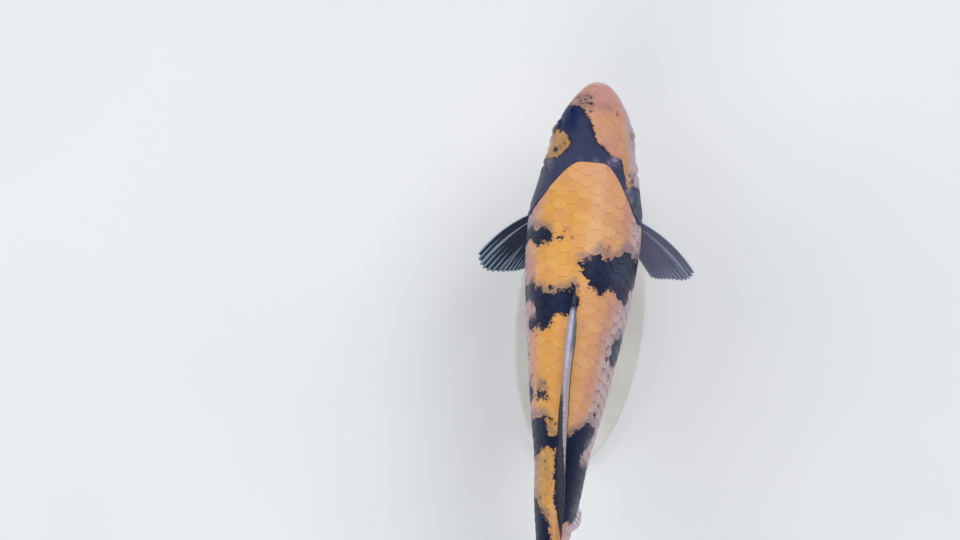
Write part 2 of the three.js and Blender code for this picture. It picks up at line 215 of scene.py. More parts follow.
# small dots: distance behind the snout in mm, degrees round, radius in mm
headSpecks = [
    (62, 50, 1.9), (63, 46, 1.2), (57, 34, 0.9), (65, 56, 1.0), (60, 41, 0.7), (67, 66, 1.3), (15, 14, 0.9),
    (16, 24, 1.1), (15, 48, 1.3), (20, 9, 1.2), (18, 36, 0.8), (21, 4, 0.7), (28, 8, 0.9), (12, 34, 0.7),
    (83, -58, 1.7), (80, -63, 1.2), (78, -55, 1.0), (76, -64, 0.9), (85, -52, 0.9),
]
bodyPatches = {
    "shoulderLeft": [
        (129, 66), (129, 55), (130, 46), (129, 38), (132, 28), (137, 25), (140, 30), (141, 38), (145, 46),
        (143, 52), (140, 58), (139, 66), (143, 78), (140, 100), (130, 100), (127, 80),
    ],
    "saddleRight": [
        (154, 1), (152, -5), (152, -10), (148, -13), (143, -17), (145, -22), (148, -25), (146, -28),
        (151, -31), (148, -36), (144, -43), (140, -50), (142, -58), (146, -64), (148, -84), (158, -100),
        (168, -92), (173, -72), (184, -64), (181, -55), (178, -48), (174, -42), (171, -36), (176, -28),
        (176, -23), (172, -16), (169, -11), (162, -7), (159, -3),
    ],
    "saddleLeft": [
        (171, 0), (175, 5), (178, 10), (177, 15), (181, 20), (182, 25), (181, 32), (178, 38), (180, 45),
        (174, 51), (175, 57), (180, 62), (176, 72), (172, 100), (184, 118), (192, 96), (191, 72), (188, 60),
        (186, 50), (190, 46), (195, 48), (200, 41), (203, 46), (203, 56), (208, 63), (214, 60), (214, 52),
        (209, 46), (208, 38), (213, 32), (209, 28), (204, 25), (201, 21), (197, 14), (197, 7), (198, 2),
        (190, -2), (180, -2),
    ],
    "flankRight": [
        (210, -66), (214, -58), (220, -53), (228, -55), (238, -63), (235, -80), (226, -94), (214, -84),
    ],
    "spotLeft": [
        (254, 44), (256, 37), (257, 32), (260, 27), (263, 23), (265, 27), (264, 33), (265, 38), (268, 42),
        (268, 48), (265, 49), (262, 45), (260, 41),
    ],
    "edgeLeft": [
        (256, 62), (262, 55), (270, 59), (272, 74), (262, 84),
    ],
    "rearLeft": [
        (279, 30), (281, 38), (283, 46), (284, 56), (287, 66), (288, 100), (306, 116), (324, 98), (321, 72),
        (315, 60), (321, 53), (316, 49), (312, 48), (309, 41), (306, 34), (304, 28), (301, 22), (304, 17),
        (304, 10), (301, 5), (296, 9), (293, 18), (290, 24), (284, 22), (281, 24),
    ],
    "stalkLeft": [
        (355, 45), (359, 38), (362, 30), (364, 18), (363, 9), (370, 5), (376, 2), (384, -2), (394, 4),
        (402, 18), (407, 50), (408, 80), (396, 112), (370, 116), (352, 106), (349, 76), (352, 56),
    ],
    "rearRight": [
        (294, -9), (290, -20), (288, -30), (286, -36), (282, -41), (285, -50), (289, -60), (294, -68),
        (298, -60), (301, -55), (306, -50), (311, -45), (314, -41), (318, -46), (320, -55), (322, -68),
        (326, -84), (338, -108), (362, -112), (369, -80), (370, -48), (368, -30), (366, -17), (362, -8),
        (352, 0), (330, 4), (310, 4), (300, -2),
    ],
    "stalkRight": [
        (412, -28), (418, 2), (432, 20), (446, 6), (444, -40), (428, -58),
    ],
}
bodySpecks = [
    (136, 17, 1.7), (136, 22, 1.0), (129, 13, 1.1), (134, 7, 0.9), (140, -28, 1.4), (192, 53, 2.0),
    (177, 25, 2.3), (281, 16, 1.8), (284, 12, 1.1), (349, 35, 1.5), (358, 22, 1.7), (317, 30, 1.4),
    (253, 31, 1.0), (250, 58, 1.4), (216, 45, 1.2), (205, -47, 1.4), (222, -47, 1.6), (230, -50, 1.8),
    (276, -52, 1.6), (268, -56, 1.3), (245, -64, 1.8), (232, 66, 1.6), (164, -70, 2.2),
]
# grey bloom over the black: distance behind the snout, degrees round, reach in mm, strength
mists = [
    (67, -32, 4.5, 0.9), (71, -25, 3.0, 0.6), (70, -8, 2.5, 0.35), (70, 9, 2.5, 0.3), (74, 54, 5.5, 0.65),
    (76, 66, 5.0, 0.5), (84, -49, 3.5, 0.8), (92, -50, 4.5, 0.9), (99, -53, 4.0, 0.8), (108, -60, 4.0, 0.5),
    (92, 97, 6.0, 0.4), (158, -42, 16, 0.22), (224, -70, 9, 0.35), (186, 60, 6, 0.45), (356, -62, 9, 0.4),
    (300, -55, 6, 0.5),
]


def flatGirth(station):
    return toFlank(np.clip(station, *form["flatRange"]))


def unrolled(station, angle):
    # the skin laid flat: mm along, mm round from the middle of the back
    return station, angle / 90 * flatGirth(station)


def unrolledSpot(station, angle):
    return unrolled(np.float64(station), np.float64(angle))


def insideBy(patches, station, angle):
    # how far inside the nearest patch outline a place is, in mm; negative outside
    x, y = unrolled(station, angle)
    best = np.full(x.shape, -99.0)
    for outline in patches.values():
        cornerX, cornerY = unrolled(*np.array(outline, float).T)
        distance = np.full(x.shape, 99.0)
        inside = np.zeros(x.shape, bool)
        for i in range(len(outline)):
            ax, ay, bx, by = cornerX[i - 1], cornerY[i - 1], cornerX[i], cornerY[i]
            dx, dy = bx - ax, by - ay
            t = np.clip(((x - ax) * dx + (y - ay) * dy) / (dx * dx + dy * dy), 0, 1)
            distance = np.minimum(distance, np.hypot(x - ax - t * dx, y - ay - t * dy))
            if dy != 0:
                crosses = ((ay > y) != (by > y)) & (x < (y - ay) / dy * dx + ax)
                inside ^= crosses
        best = np.maximum(best, np.where(inside, distance, -distance))
    return best


def insideSpecks(specks, station, angle):
    x, y = unrolled(station, angle)
    best = np.full(x.shape, -99.0)
    for speckStation, speckAngle, radius in specks:
        centreX, centreY = unrolledSpot(speckStation, speckAngle)
        best = np.maximum(best, radius - np.hypot(x - centreX, (y - centreY) * 0.8))
    return best


def cloud(points, size, seed=0.0):
    # soft noise from -1 to 1 at places in mm
    shift = Vector((seed * 17.3, seed * 5.1, seed * 9.7))
    return np.array([noise.noise(Vector(p) / size + shift) for p in points.reshape(-1, 3)]).reshape(
        points.shape[:-1])


def markings(station, angle, points, onHead):
    # smooth fields that the materials turn into colours: ink and speck are mm inside the black, and
    # the others shares, tone from yellow to salmon, pink and pale mostly down the flank, white below
    wander = 0.9 * cloud(points, 3.6, 1) + 1.1 * cloud(points, 9, 2)
    drift = 1.3 * cloud(points, 3.2, 3) + 1.2 * cloud(points, 9, 6)
    drift = drift * 30 / np.maximum(flatGirth(station), 20)
    patches, specks = (headPatches, headSpecks) if onHead else (bodyPatches, bodySpecks)
    ink = insideBy(patches, station + wander, angle + drift)
    speck = insideSpecks(specks, station + 0.5 * wander, angle)
    lean = np.abs(angle) + 6 * cloud(points, 20, 4)
    side = angle + 8 * cloud(points, 26, 5)
    if onHead:
        crownTone = np.maximum(smoothStep(56, 40, lean), 0.4 + 0.4 * smoothStep(64, 44, station))
        tone = np.where(angle < 18, crownTone, 0.15)
        pink = smoothStep(18, -22, side) * smoothStep(54, 40, lean) * 0.8
        pink = pink + 0.6 * smoothStep(34, 14, station)
        pale = np.where(angle < 0, smoothStep(38, 72, lean), smoothStep(54, 78, lean))
    else:
        nape = smoothStep(104, 76, station)
        tone = np.clip(smoothStep(20, -26, side) * 0.9 + 0.7 * nape + 0.5 * smoothStep(34, 52, lean), 0, 1)
        outward = lean + 9 * (angle > 0) * bell(station - 198, 16)
        outward += (angle < 0) * (8 * smoothStep(90, 150, station) + 15 * smoothStep(175, 230, station))
        pink = smoothStep(34, 56, outward)
        pale = smoothStep(46, 78, outward)
    white = smoothStep(88, 120, lean)
    mist = np.zeros(station.shape)
    x, y = unrolled(station, angle)
    for mistStation, mistAngle, radius, strength in mists:
        mistX, mistY = unrolledSpot(mistStation, mistAngle)
        mist = np.maximum(mist, strength * bell(np.hypot(x - mistX, y - mistY), radius))
    dusk = 0.85 * smoothStep(275, 325, station) * smoothStep(6, 20, angle) * smoothStep(90, 60, angle)
    return {
        "ink": ink, "speck": speck, "tone": tone, "pink": np.clip(pink, 0, 1), "pale": pale, "white": white,
        "mist": mist, "dusk": dusk,
    }


# helpers for meshes
def addPiece(name, mesh):
    piece = bpy.data.objects.new(name, mesh)
    bpy.context.scene.collection.objects.link(piece)
    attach(piece, "root")
    return piece


def smoothMesh(bm, mesh):
    # the finished mesh, with every face smooth
    bm.to_mesh(mesh)
    bm.free()
    for face in mesh.polygons:
        face.use_smooth = True


def newPiece(name, bm):
    mesh = bpy.data.meshes.new(name)
    smoothMesh(bm, mesh)
    return addPiece(name, mesh)


def readPoints(mesh):
    flat = np.zeros(len(mesh.vertices) * 3)
    mesh.vertices.foreach_get("co", flat)
    return flat.reshape(-1, 3)


def writePoints(mesh, points):
    mesh.vertices.foreach_set("co", np.ascontiguousarray(points, dtype=np.float32).ravel())
    mesh.update()


def writeFields(mesh, fields):
    for name, values in fields.items():
        field = mesh.attributes.new(name, "FLOAT", "POINT")
        field.data.foreach_set("value", np.ascontiguousarray(values, dtype=np.float32).ravel())


def vertexNormals(mesh):
    flat = np.zeros(len(mesh.vertices) * 3, dtype=np.float32)
    mesh.vertex_normals.foreach_get("vector", flat)
    return flat.reshape(-1, 3).astype(float)


# skin
skin = {
    "around": 256,
    "rings": 330,
    "headRings": 0.56,  # share of the rings that lie in the head
    "ringMix": (0.78, 0.22),  # of two curves that gather the head's rings
    "scaleDepth": 0.95,  # the skin lies this far inside, under the scales
    "gillStep": 2.4,
    "napeStep": 0.9,
    "stepReach": 3.0,
    "headOverlap": 0.4,  # the head's surface runs this far past its edge
}
eye = {
    "station": 45,
    "up": 8,
    "radius": 9.2,
    "proud": 2.3,
    "opening": 6.4,
    "rim": 1.1,
    "facing": (-0.22, 0.12),  # forwards and up, for one unit outwards
    "bulge": 0.035,  # the clear front's height, in radii
    "bulgeReach": 26,  # degrees from the pupil's middle
    "lids": {"left": "0e1018", "right": "9a7c70"},
}
mouth = {"level": -5, "slope": 0.34, "corner": 17}


def headRelief(station, angle, side, up):
    # height of the head's features above the plain form, in mm
    ahead = shoulder(angle) - station
    lean = np.abs(angle)
    offMiddle = np.abs(side)
    flank = smoothStep(40, 62, lean)
    cheekBand = flank * smoothStep(165, 140, lean)
    under = smoothStep(128, 150, lean)
    coverFront = 74 + 5 * smoothStep(8, 30, up) + 10 * smoothStep(-14, -44, up)
    behindFront = station - coverFront
    fan = np.degrees(np.arctan2(up + 4, station - 74))
    fanRays = np.sin(np.radians(fan) * 17) * smoothStep(4, 14, behindFront)
    reach = np.hypot(station - eye["station"], (up - eye["up"]) * 1.02)
    level = mouth["level"] - mouth["slope"] * station
    overMouth = up - level
    throat = ahead - 0.1 * (lean - 150)
    lips = smoothStep(mouth["corner"] + 3, mouth["corner"] - 4, station)
    jawLine = up - (level + 1.5 - 0.25 * (station - mouth["corner"]))
    overEye = smoothStep(0, 4, up)
    pit = np.hypot(station - 27.5, (offMiddle - 18.5) * 1.25)
    # each feature: height in mm, distance from its middle line, its width, and where it shows
    features = [
        # gill cover: swollen plate, thin flap at the rear, grooves ahead of it, fine rays
        (0.9, ahead - 9, 11, cheekBand),
        (0.5, ahead - 2.2, 1.6, cheekBand),
        (-1.2, behindFront, 1.6, cheekBand),
        (0.6, behindFront + 4.5, 3, cheekBand),
        (-0.7, behindFront + 11, 1.8, cheekBand * smoothStep(20, 0, up)),
        (0.16, ahead - 15, 13, cheekBand * fanRays),
        (-0.5, ahead - 5.5, 1.2, cheekBand * smoothStep(28, 8, up)),
        # its lower edge and the membranes under the throat
        (-0.8, throat - 6, 1.3, under),
        (-0.6, throat - 12, 1.3, under),
        (-0.45, throat - 18, 1.3, under),
        # eye: rim and the soft fold round it, cheek bone under it and brow above it
        (eye["rim"], reach - 8.8, 1.7, 1),
        (-0.5, reach - 12.4, 1.5, 1),
        (0.8, np.hypot((station - 54) / 1.6, up + 5), 9, flank),
        (0.7, np.hypot((station - 44) / 1.9, up - 23), 6, 1),
        # mouth: gap, lips and the folds outside them, its corner and the jaw line
        (-2.6, overMouth, 0.95, lips),
        (1.5, overMouth - 3, 2, lips),
        (1.2, overMouth + 3, 1.9, lips),
        (-0.9, overMouth - 6.6, 1.1, lips),
        (-0.8, overMouth + 6.4, 1.2, lips),
        (-0.9, np.hypot(station - mouth["corner"], overMouth), 2.2, 1),
        (-0.7, jawLine, 1.6, smoothStep(12, 20, station) * smoothStep(56, 40, station)),
        # nostrils: a raised rim, the pit and the flap across it
        (0.75, pit - 3.1, 1, overEye),
        (-1.9, pit, 1.9, overEye),
        (1.5, np.hypot((station - 27.2) * 2.2, (offMiddle - 18.5) * 0.9), 1.4, overEye),
        # forehead: a shallow dip above the snout, bones of the skull further back
        (-0.6, station - 22, 7, smoothStep(60, 20, lean)),
        (0.5, side, 3.5, smoothStep(38, 52, station) * smoothStep(40, 10, lean)),
        (-0.35, offMiddle - 9, 3, smoothStep(38, 56, station) * smoothStep(60, 30, lean)),
    ]
    socket = -3.6 * smoothStep(eye["opening"] + 0.5, eye["opening"] - 1.6, reach)
    raised = sum(height * bell(distance, width) * where for height, distance, width, where in features)
    return socket + raised


def makeSkin():
    bm = bmesh.new()
    bmesh.ops.create_uvsphere(bm, u_segments=skin["around"], v_segments=skin["rings"], radius=1)
    bmesh.ops.rotate(bm, verts=bm.verts, cent=(0, 0, 0), matrix=Matrix.Rotation(math.pi, 3, "X"))
    piece = newPiece("koi_skin", bm)
    mesh = piece.data
    ball = readPoints(mesh)
    turn = np.arccos(np.clip(-ball[:, 2], -1, 1)) / math.pi
    angle = np.degrees(np.arctan2(ball[:, 0], ball[:, 1]))
    # rings gather towards the edge of the head, and follow it
    split = skin["headRings"]
    headShare = np.clip(turn / split, 0, 1)
    eased = 1 - np.cos(headShare * math.pi / 2)
    held = (1 - (1 - headShare) ** 2) * headShare
    headShare = skin["ringMix"][0] * eased + skin["ringMix"][1] * held
    bodyShare = np.clip((1 - turn) / (1 - split), 0, 1)
    bodyShare = 1 - np.cos(bodyShare * math.pi / 2)
    edge = shoulder(angle)
    station = np.where(turn < split, edge * headShare, bodyLength - (bodyLength - edge) * bodyShare)
    points = bodyPoint(station, angle)
    writePoints(mesh, points * mm)
    normals = vertexNormals(mesh)
    if np.median((normals * (points - [0, 0, axisHeight]))[:, 0]) < 0:
        mesh.flip_normals()
        normals = -normals
    side = points[:, 0] - midline(station)
    up = points[:, 2] - axisHeight
    behind = station - edge
    relief = headRelief(station, angle, side, up)
    lean = np.abs(angle)
    gill = smoothStep(45, 66, lean) * smoothStep(170, 145, lean)
    stepDepth = skin["napeStep"] + (skin["gillStep"] - skin["napeStep"]) * gill
    step = stepDepth * bell(behind, skin["stepReach"])
    onHead = behind <= skin["headOverlap"]
    sunk = np.where(onHead, 0, np.maximum(step, skin["scaleDepth"]))
    tailRoot = smoothStep(standardLength - 10, standardLength - 2, station)
    sunk = sunk * (1 - tailRoot)
    relief = np.where(onHead, relief, -sunk)
    relief += np.where(onHead, 0.12 * cloud(points, 6, 8) + 0.25 * cloud(points, 18, 9), 0)
    points = points + normals * relief[:, None]
    writePoints(mesh, points * mm)
    headFields = markings(station, angle, points, True)
    bodyFields = markings(station, angle, points, False)
    fields = {name: np.where(onHead, headFields[name], bodyFields[name]) for name in bodyFields}
    fields["ink"] = np.maximum(fields["ink"], fields.pop("speck"))
    fields.update({
        "head": onHead.astype(float),
        # painted shade: darker in the head's grooves, pits and mouth gap, and just behind the head's edge
        # where the skin steps down
        "creaseShade": np.where(onHead, np.clip((-relief - 0.35) / 1.2, 0, 1), 0.5 * bell(behind, 2)),
        "navy": smoothStep(58, 38, station) * smoothStep(16, 34, angle + 4 * cloud(points, 9, 12)),
        "station": station,
        "lean": angle,
    })
    writeFields(mesh, fields)
    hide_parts("head", "upper_lip", "lower_jaw", "gill_cover_left", "gill_cover_right",
                "trunk_front", "trunk_rear", "tail_stalk")
    print("skin:", len(mesh.vertices), "vertices")
    return piece


# scales
scales = {
    "rowsAbove": 8,  # between the lateral line and the back, ahead of the dorsal fin
    "rowsBelow": 7,
    "rowsAtStalk": 4,
    "dorsalFront": 174,
    "dorsalEnd": 352,
    "pelvicRoot": 225,
    "analEnd": 383,
    "first": 58,  # where the rows start, under the head's edge
    "napeEnd": 110,
    "pitchNape": 8.4,
    "pitchFront": 10.0,
    "pitchRear": 7.9,
    "overlapAlong": 0.92,  # half length over pitch
    "overlapAround": 0.76,  # half width over row spacing
    "sink": 0.68,  # the root lies this far under the rear edge, in mm
    "depth": 0.1,
    "thickness": 0.17,
    "dome": 0.16,
    "rimDrop": 0.06,
    "lineRidge": 0.3,  # along the lateral line
    "sizeSpread": 0.05,
    "twistSpread": 0.06,
    "tiltSpread": 0.05,
    "ownInk": 0.45,  # how much of a plate's marking comes from its root; the rest from the place itself
    "ownTint": 0.5,
    "cells": 5,
    "patch": 0.003,
}


def rowSpacing(station, above):
    # the rows thin out between the fins' ends: below the lateral line, or above it
    def spacing(place, rows):
        return (toFlank(place) if above else toBelly(place) - toFlank(place)) / rows

    ends = ("dorsalFront", "dorsalEnd") if above else ("pelvicRoot", "analEnd")
    start, end = (scales[key] for key in ends)
    many, few = scales["rowsAbove" if above else "rowsBelow"], scales["rowsAtStalk"]
    front, rear = spacing(start, many), spacing(end, few)
    middle = front + (rear - front) * smoothStep(start, end, station)
    behindStart = np.where(station > end, spacing(station, few), middle)
    return np.where(station < start, spacing(station, many), behindStart)


def scaleRoots():
    # centres of the scales: station, arc from the middle of the back, row spacing, pitch
    first, napeEnd, napePitch = scales["first"], scales["napeEnd"], scales["pitchNape"]
    halfSteps = [float(first)]
    while halfSteps[-1] < standardLength - 1:
        share = np.clip((halfSteps[-1] - napeEnd) / (standardLength - napeEnd), 0, 1)
        pitch = scales["pitchFront"] + (scales["pitchRear"] - scales["pitchFront"]) * share
        if halfSteps[-1] < napeEnd:
            pitch = napePitch + (pitch - napePitch) * (halfSteps[-1] - first) / (napeEnd - first)
        halfSteps.append(halfSteps[-1] + pitch / 2)
    roots = []
    for row in range(-scales["rowsBelow"], scales["rowsAbove"] + 1):
        for k, station in enumerate(halfSteps[:-2]):
            if (k + row) % 2:
                continue
            pitch = halfSteps[k + 2] - halfSteps[k]
            spacing = float(rowSpacing(np.float64(station), row >= 0))
            arc = float(toFlank(station)) - row * spacing
            limit = float(toBelly(station))
            if arc < -0.3 * spacing or arc > limit + 0.3 * spacing:
                continue
            onMiddle = arc < 0.35 * spacing or arc > limit - 0.35 * spacing
            if onMiddle:
                arc = 0.0 if arc < limit / 2 else limit
            angle = float(angleAt(np.float64(station), np.float64(arc)))
            if station < shoulder(angle) - 3.5:
                continue
            for sign in ((1,) if onMiddle else (1, -1)):
                roots.append((station, sign * arc, spacing, pitch, row == 0))
    return np.array(roots)


def scaleTemplate():
    # one rounded plate: x back along the body, y round it, both from -1 to 1; z in mm
    bm = bmesh.new()
    bm.loops.layers.uv.new("OFBake")
    bmesh.ops.create_grid(bm, x_segments=scales["cells"], y_segments=scales["cells"], size=1, calc_uvs=True)
    for vert in bm.verts:
        x, y = vert.co.x, vert.co.y
        vert.co.x = x * math.sqrt(1 - y * y / 2)
        vert.co.y = y * math.sqrt(1 - x * x / 2)
    for edge in bm.edges:
        edge.smooth = not edge.is_boundary
    bmesh.ops.solidify(bm, geom=bm.faces[:], thickness=scales["thickness"])
    bmesh.ops.recalc_face_normals(bm, faces=bm.faces)
    template = bpy.data.meshes.new("scale_template")
    smoothMesh(bm, template)
    return template


def makeScales(name, roots, template):
    # the plates as one joined mesh, from an array, then each laid on its place on the body
    holder = bpy.data.objects.new(name + "_array", template)
    bpy.context.scene.collection.objects.link(holder)
    array = holder.modifiers.new("plates", "ARRAY")
    array.fit_type = "FIXED_COUNT"
    array.count = len(roots)
    array.use_relative_offset = False
    array.use_constant_offset = True
    array.constant_offset_displace = (3, 0, 0)
    evaluated = holder.evaluated_get(bpy.context.evaluated_depsgraph_get())
    mesh = bpy.data.meshes.new_from_object(evaluated)
    mesh.name = name
    bpy.data.objects.remove(holder)
    piece = addPiece(name, mesh)

    flat = readPoints(template)
    count, each = len(roots), len(flat)
    along, around, lift = (np.tile(flat[:, i], (count, 1)) for i in range(3))
    lift = lift - lift.max()
    station, arc, spacing, pitch, onLine = (roots[:, i][:, None] for i in range(5))
    sizes = 1 + scales["sizeSpread"] * randomDraws.uniform(-1, 1, (count, 1))
    tilt = scales["tiltSpread"] * randomDraws.uniform(-1, 1, (count, 1))
    twist = scales["twistSpread"] * randomDraws.uniform(-1, 1, (count, 1))
    longways = along * scales["overlapAlong"] * pitch * sizes
    crossways = (around + twist * along) * scales["overlapAround"] * spacing * sizes
    places = np.clip(station + longways, 1, bodyLength - 1)
    arcs = arc + crossways
    # a plate that reaches past the middle of the belly goes on round the other side
    pastBelly = 360 - np.abs(angleAt(places, 2 * toBelly(places) - np.abs(arcs)))
    angles = np.where(np.abs(arcs) > toBelly(places), np.sign(arcs) * pastBelly, angleAt(places, arcs))
    rise = (along + 1) / 2
    height = -scales["sink"] * (1 - rise) + scales["dome"] * (1 - around ** 2) * rise + tilt * along
    height = height - scales["rimDrop"] * bell(along - 1, 0.2) + lift - scales["depth"]
    height = height + scales["lineRidge"] * onLine * bell(around, 0.22) * smoothStep(0.9, 0.5, along)
    surface = bodyPoint(places, angles)
    points = surface + bodyNormal(places, angles) * height[..., None]
    writePoints(mesh, points.reshape(-1, 3) * mm)

    rootAngle = angleAt(station[:, 0], arc[:, 0])
    rootStation = station[:, 0] + 0.35 * pitch[:, 0]
    rootPoints = bodyPoint(rootStation, rootAngle)
    rootFields = markings(rootStation, rootAngle, rootPoints, False)
    localAngles = np.where(np.abs(angles) > 180, angles - 360 * np.sign(angles), angles)
    localFields = markings(places, localAngles, points, False)
    shade = 0.5 + 0.5 * randomDraws.uniform(-1, 1, (count, 1))
    fields = {}
    for name in ("ink", "tone", "pink", "pale", "white", "mist", "dusk"):
        own = scales["ownInk" if name == "ink" else "ownTint"]
        fields[name] = own * rootFields[name][:, None] + (1 - own) * localFields[name]
    fields["ink"] = np.maximum(fields["ink"], localFields["speck"])
    # black under a scale shows through it as a blue-grey veil, mostly ahead of a patch
    ahead = insideBy(bodyPatches, places + 6, localAngles)
    fields["veil"] = smoothStep(-4, 3, ahead) * smoothStep(3, -1, localFields["ink"])
    fields["pore"] = onLine * bell(around, 0.16) * bell(along - 0.35, 0.3)
    fields["shade"] = np.tile(shade, (1, each))
    fields["reach"] = along
    fields["across"] = around
    writeFields(mesh, fields)

    # each plate's bake patch sits at its root's place on the unrolled skin
    layer = mesh.uv_layers["OFBake"]
    uvs = np.zeros(len(mesh.loops) * 2)
    layer.data.foreach_get("uv", uvs)
    uvs = uvs.reshape(count, -1, 2)
    home = np.stack([rootAngle / 400 + 0.5, 0.02 + 0.96 * station[:, 0] / bodyLength], -1)
    uvs = home[:, None, :] + (uvs - 0.5) * scales["patch"]
    layer.data.foreach_set("uv", uvs.ravel())
    print(name + ":", count, "scales,", len(mesh.polygons), "faces")
    return piece


# fins
def place(station, left, up):
    return np.array([midline(station) + left, snoutY + station, axisHeight + up])


def unit(vector):
    vector = np.asarray(vector, float)
    return vector / np.linalg.norm(vector)


# a fin's values: its base, the directions back and out, the first and last ray's angle, the rays'
# lengths in mm, and pale stripes as (share across, start, narrow width, wide width, strength)
twiceForked = (0.25, 0.115)
pectoralFin = {"back": (0, 1, -0.05), "rayCount": 13}
pelvicFin = {"angles": (36, 8), "rays": (66, 68, 62, 54, 44, 34), "rayCount": 9, "forks": twiceForked,
             "look": "pelvic fins"}
tailLobe = {"angles": (26, 0), "rays": (100, 113, 110, 100, 86, 73, 62), "rayCount": 9,
            "thickness": (3.6, 0.7), "forks": twiceForked, "look": "tail fin"}
fins = {
    "pectoral_fin_left": {
        **pectoralFin, "base": (108, 37, -33), "baseEnd": (132, 38, -40), "out": (1, 0, -0.12),
        "angles": (52.5, 22), "bend": 18.5, "rays": (70, 72.5, 69, 59.5, 50, 41.5, 32.5), "cup": -3,
        "stripes": [
            (0.19, 0.1, 0.008, 0.04, 0.9), (0.54, 0.42, 0.008, 0.045, 0.7), (0.72, 0.5, 0.006, 0.014, 0.6),
        ],
        "look": "left pectoral fin",
    },
    "pectoral_fin_right": {
        **pectoralFin, "base": (108.5, -37, -33), "baseEnd": (131, -38, -40), "out": (-1, 0, -0.1),
        "angles": (55.5, 38), "bend": 19, "rays": (73, 72, 66.5, 57.5, 50, 43.5, 35.5), "cup": 3,
        "stripes": [(0.2, 0.1, 0.012, 0.05, 0.75), (0.97, 0.2, 0.02, 0.04, 0.5)],
        "look": "right pectoral fin",
    },
    "pelvic_fin_left": {
        **pelvicFin, "base": (207, 19, -53), "baseEnd": (226, 12, -55), "out": (0.22, 0, -0.97),
        "cup": 3, "stripes": [(0.3, 0.1, 0.02, 0.06, 0.7)],
    },
    "pelvic_fin_right": {
        **pelvicFin, "base": (207, -19, -53), "baseEnd": (226, -12, -55), "out": (-0.22, 0, -0.97),
        "cup": -3, "stripes": [(0.25, 0.1, 0.02, 0.06, 0.7)],
    },
    "anal_fin": {
        "base": (345, 0, -33), "baseEnd": (381, 0, -26), "out": (-0.46, 0, -0.89), "angles": (54, 24),
        "rays": (50, 52, 42, 32, 26, 22), "cup": 2, "rayCount": 7, "forks": twiceForked, "look": "anal fin",
    },
    "tail_fin_upper": {**tailLobe, "base": (446, 0, 27.5), "baseEnd": (450, 0, -1), "out": (0, 0, 1)},
    "tail_fin_lower": {**tailLobe, "base": (446, 0, -25.5), "baseEnd": (450, 0, 1), "out": (0, 0, -1)},
}
finDefaults = {
    "back": (0, 1, 0), "bend": 0, "cup": 0, "thickness": (1.7, 0.55), "ruffle": 0.7, "stripes": [],
    "forks": (0.12, 0), "sideRounding": 0.02, "tipRounding": 0.03, "scallop": 0.035,
}


def rayRidge(share, reach, count, forks, spread=0.13):
    # 1 on a ray and 0 on the membrane between; each ray forks once or twice on its way out
    local = np.abs((share * count) % 1 - 0.5)
    fork = np.abs(local - forks[0] * smoothStep(0.5, 0.9, reach))
    twig = forks[1] * smoothStep(0.65, 1, reach)
    return bell(fork - twig, spread * (1 - 4 * twig))


def pillow(name, acrossCells, alongCells):
    # a sheet folded in two: the piece, which face (1 or -1), and how far across and along, 0 to 1
    bm = bmesh.new()
    bmesh.ops.create_grid(bm, x_segments=2 * acrossCells, y_segments=alongCells, size=1)
    piece = newPiece(name, bm)
    flat = readPoints(piece.data)
    face = np.where(flat[:, 0] < 0, 1.0, -1.0)
    return piece, face, np.abs(flat[:, 0]), (flat[:, 1] + 1) / 2


def makeFin(name, choices):
    fin = {**finDefaults, **choices}
    piece, face, fold, reach = pillow(name + "_rays", fin["rayCount"] * 10, 46)
    share = 1 - fold
    start, end = place(*fin["base"]), place(*fin["baseEnd"])
    backward, outward = unit(fin["back"]), unit(fin["out"])
    normal = unit(np.cross(backward, outward))
    rays = fin["rays"]
    length = curveThrough(np.linspace(0, 1, len(rays)), rays, share)
    tips = rayRidge(share, np.ones(share.shape), fin["rayCount"], fin["forks"], 0.2)
    length = length * (0.975 + fin["scallop"] * tips)
    turn = fin["angles"][0] + (fin["angles"][1] - fin["angles"][0]) * share
    angle = np.radians(turn + fin["bend"] * (1 - share) ** 2 * (1 - reach))
    ridge = rayRidge(share, reach, fin["rayCount"], fin["forks"])
    spine = bell(share, 0.035)
    thick = fin["thickness"][0] + (fin["thickness"][1] - fin["thickness"][0]) * reach ** 0.7
    half = 0.5 * thick * (0.78 + 0.22 * np.maximum(ridge, spine))
    sides = roundedEnd(share, fin["sideRounding"]) * roundedEnd(1 - share, fin["sideRounding"])
    half = half * sides * roundedEnd(1 - reach, fin["tipRounding"]) * smoothStep(0, 0.02, reach)
    wave = fin["ruffle"] * reach ** 2 * np.sin(share * 11 + 1.3) * smoothStep(0.05, 0.3, share)
    out = (face * half + fin["cup"] * reach ** 2 + wave)[:, None] * normal
    far = (length * reach)[:, None]
    points = start + (end - start) * share[:, None]
    points = points + far * (np.cos(angle)[:, None] * backward + np.sin(angle)[:, None] * outward) + out
    station = points[:, 1] - snoutY
    points[:, 0] += midline(station) - midline(np.minimum(station, standardLength))
    pale = np.zeros(share.shape)
    for centre, begins, narrow, wide, strength in fin["stripes"]:
        band = narrow + (wide - narrow) * np.clip((reach - begins) / (1 - begins), 0, 1)
        begun = smoothStep(begins, begins + 0.15, reach)
        stripe = smoothStep(1.2, 0.6, np.abs(share - centre) / band) * begun
        pale = np.maximum(pale, strength * stripe)
    fields = {"share": share, "reach": reach, "rayPlace": share * fin["rayCount"], "pale": pale}
    finishFin(piece, name, points, fields)
    return piece


def finishFin(piece, node, points, fields):
    writePoints(piece.data, points * mm)
    writeFields(piece.data, fields)
    closeSeams(piece.data)
    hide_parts(node)
    print(node + ":", len(piece.data.polygons), "faces")


def closeSeams(mesh):
    bm = bmesh.new()
    bm.from_mesh(mesh)
    bmesh.ops.remove_doubles(bm, verts=bm.verts, dist=0.00001)
    bmesh.ops.recalc_face_normals(bm, faces=bm.faces)
    smoothMesh(bm, mesh)


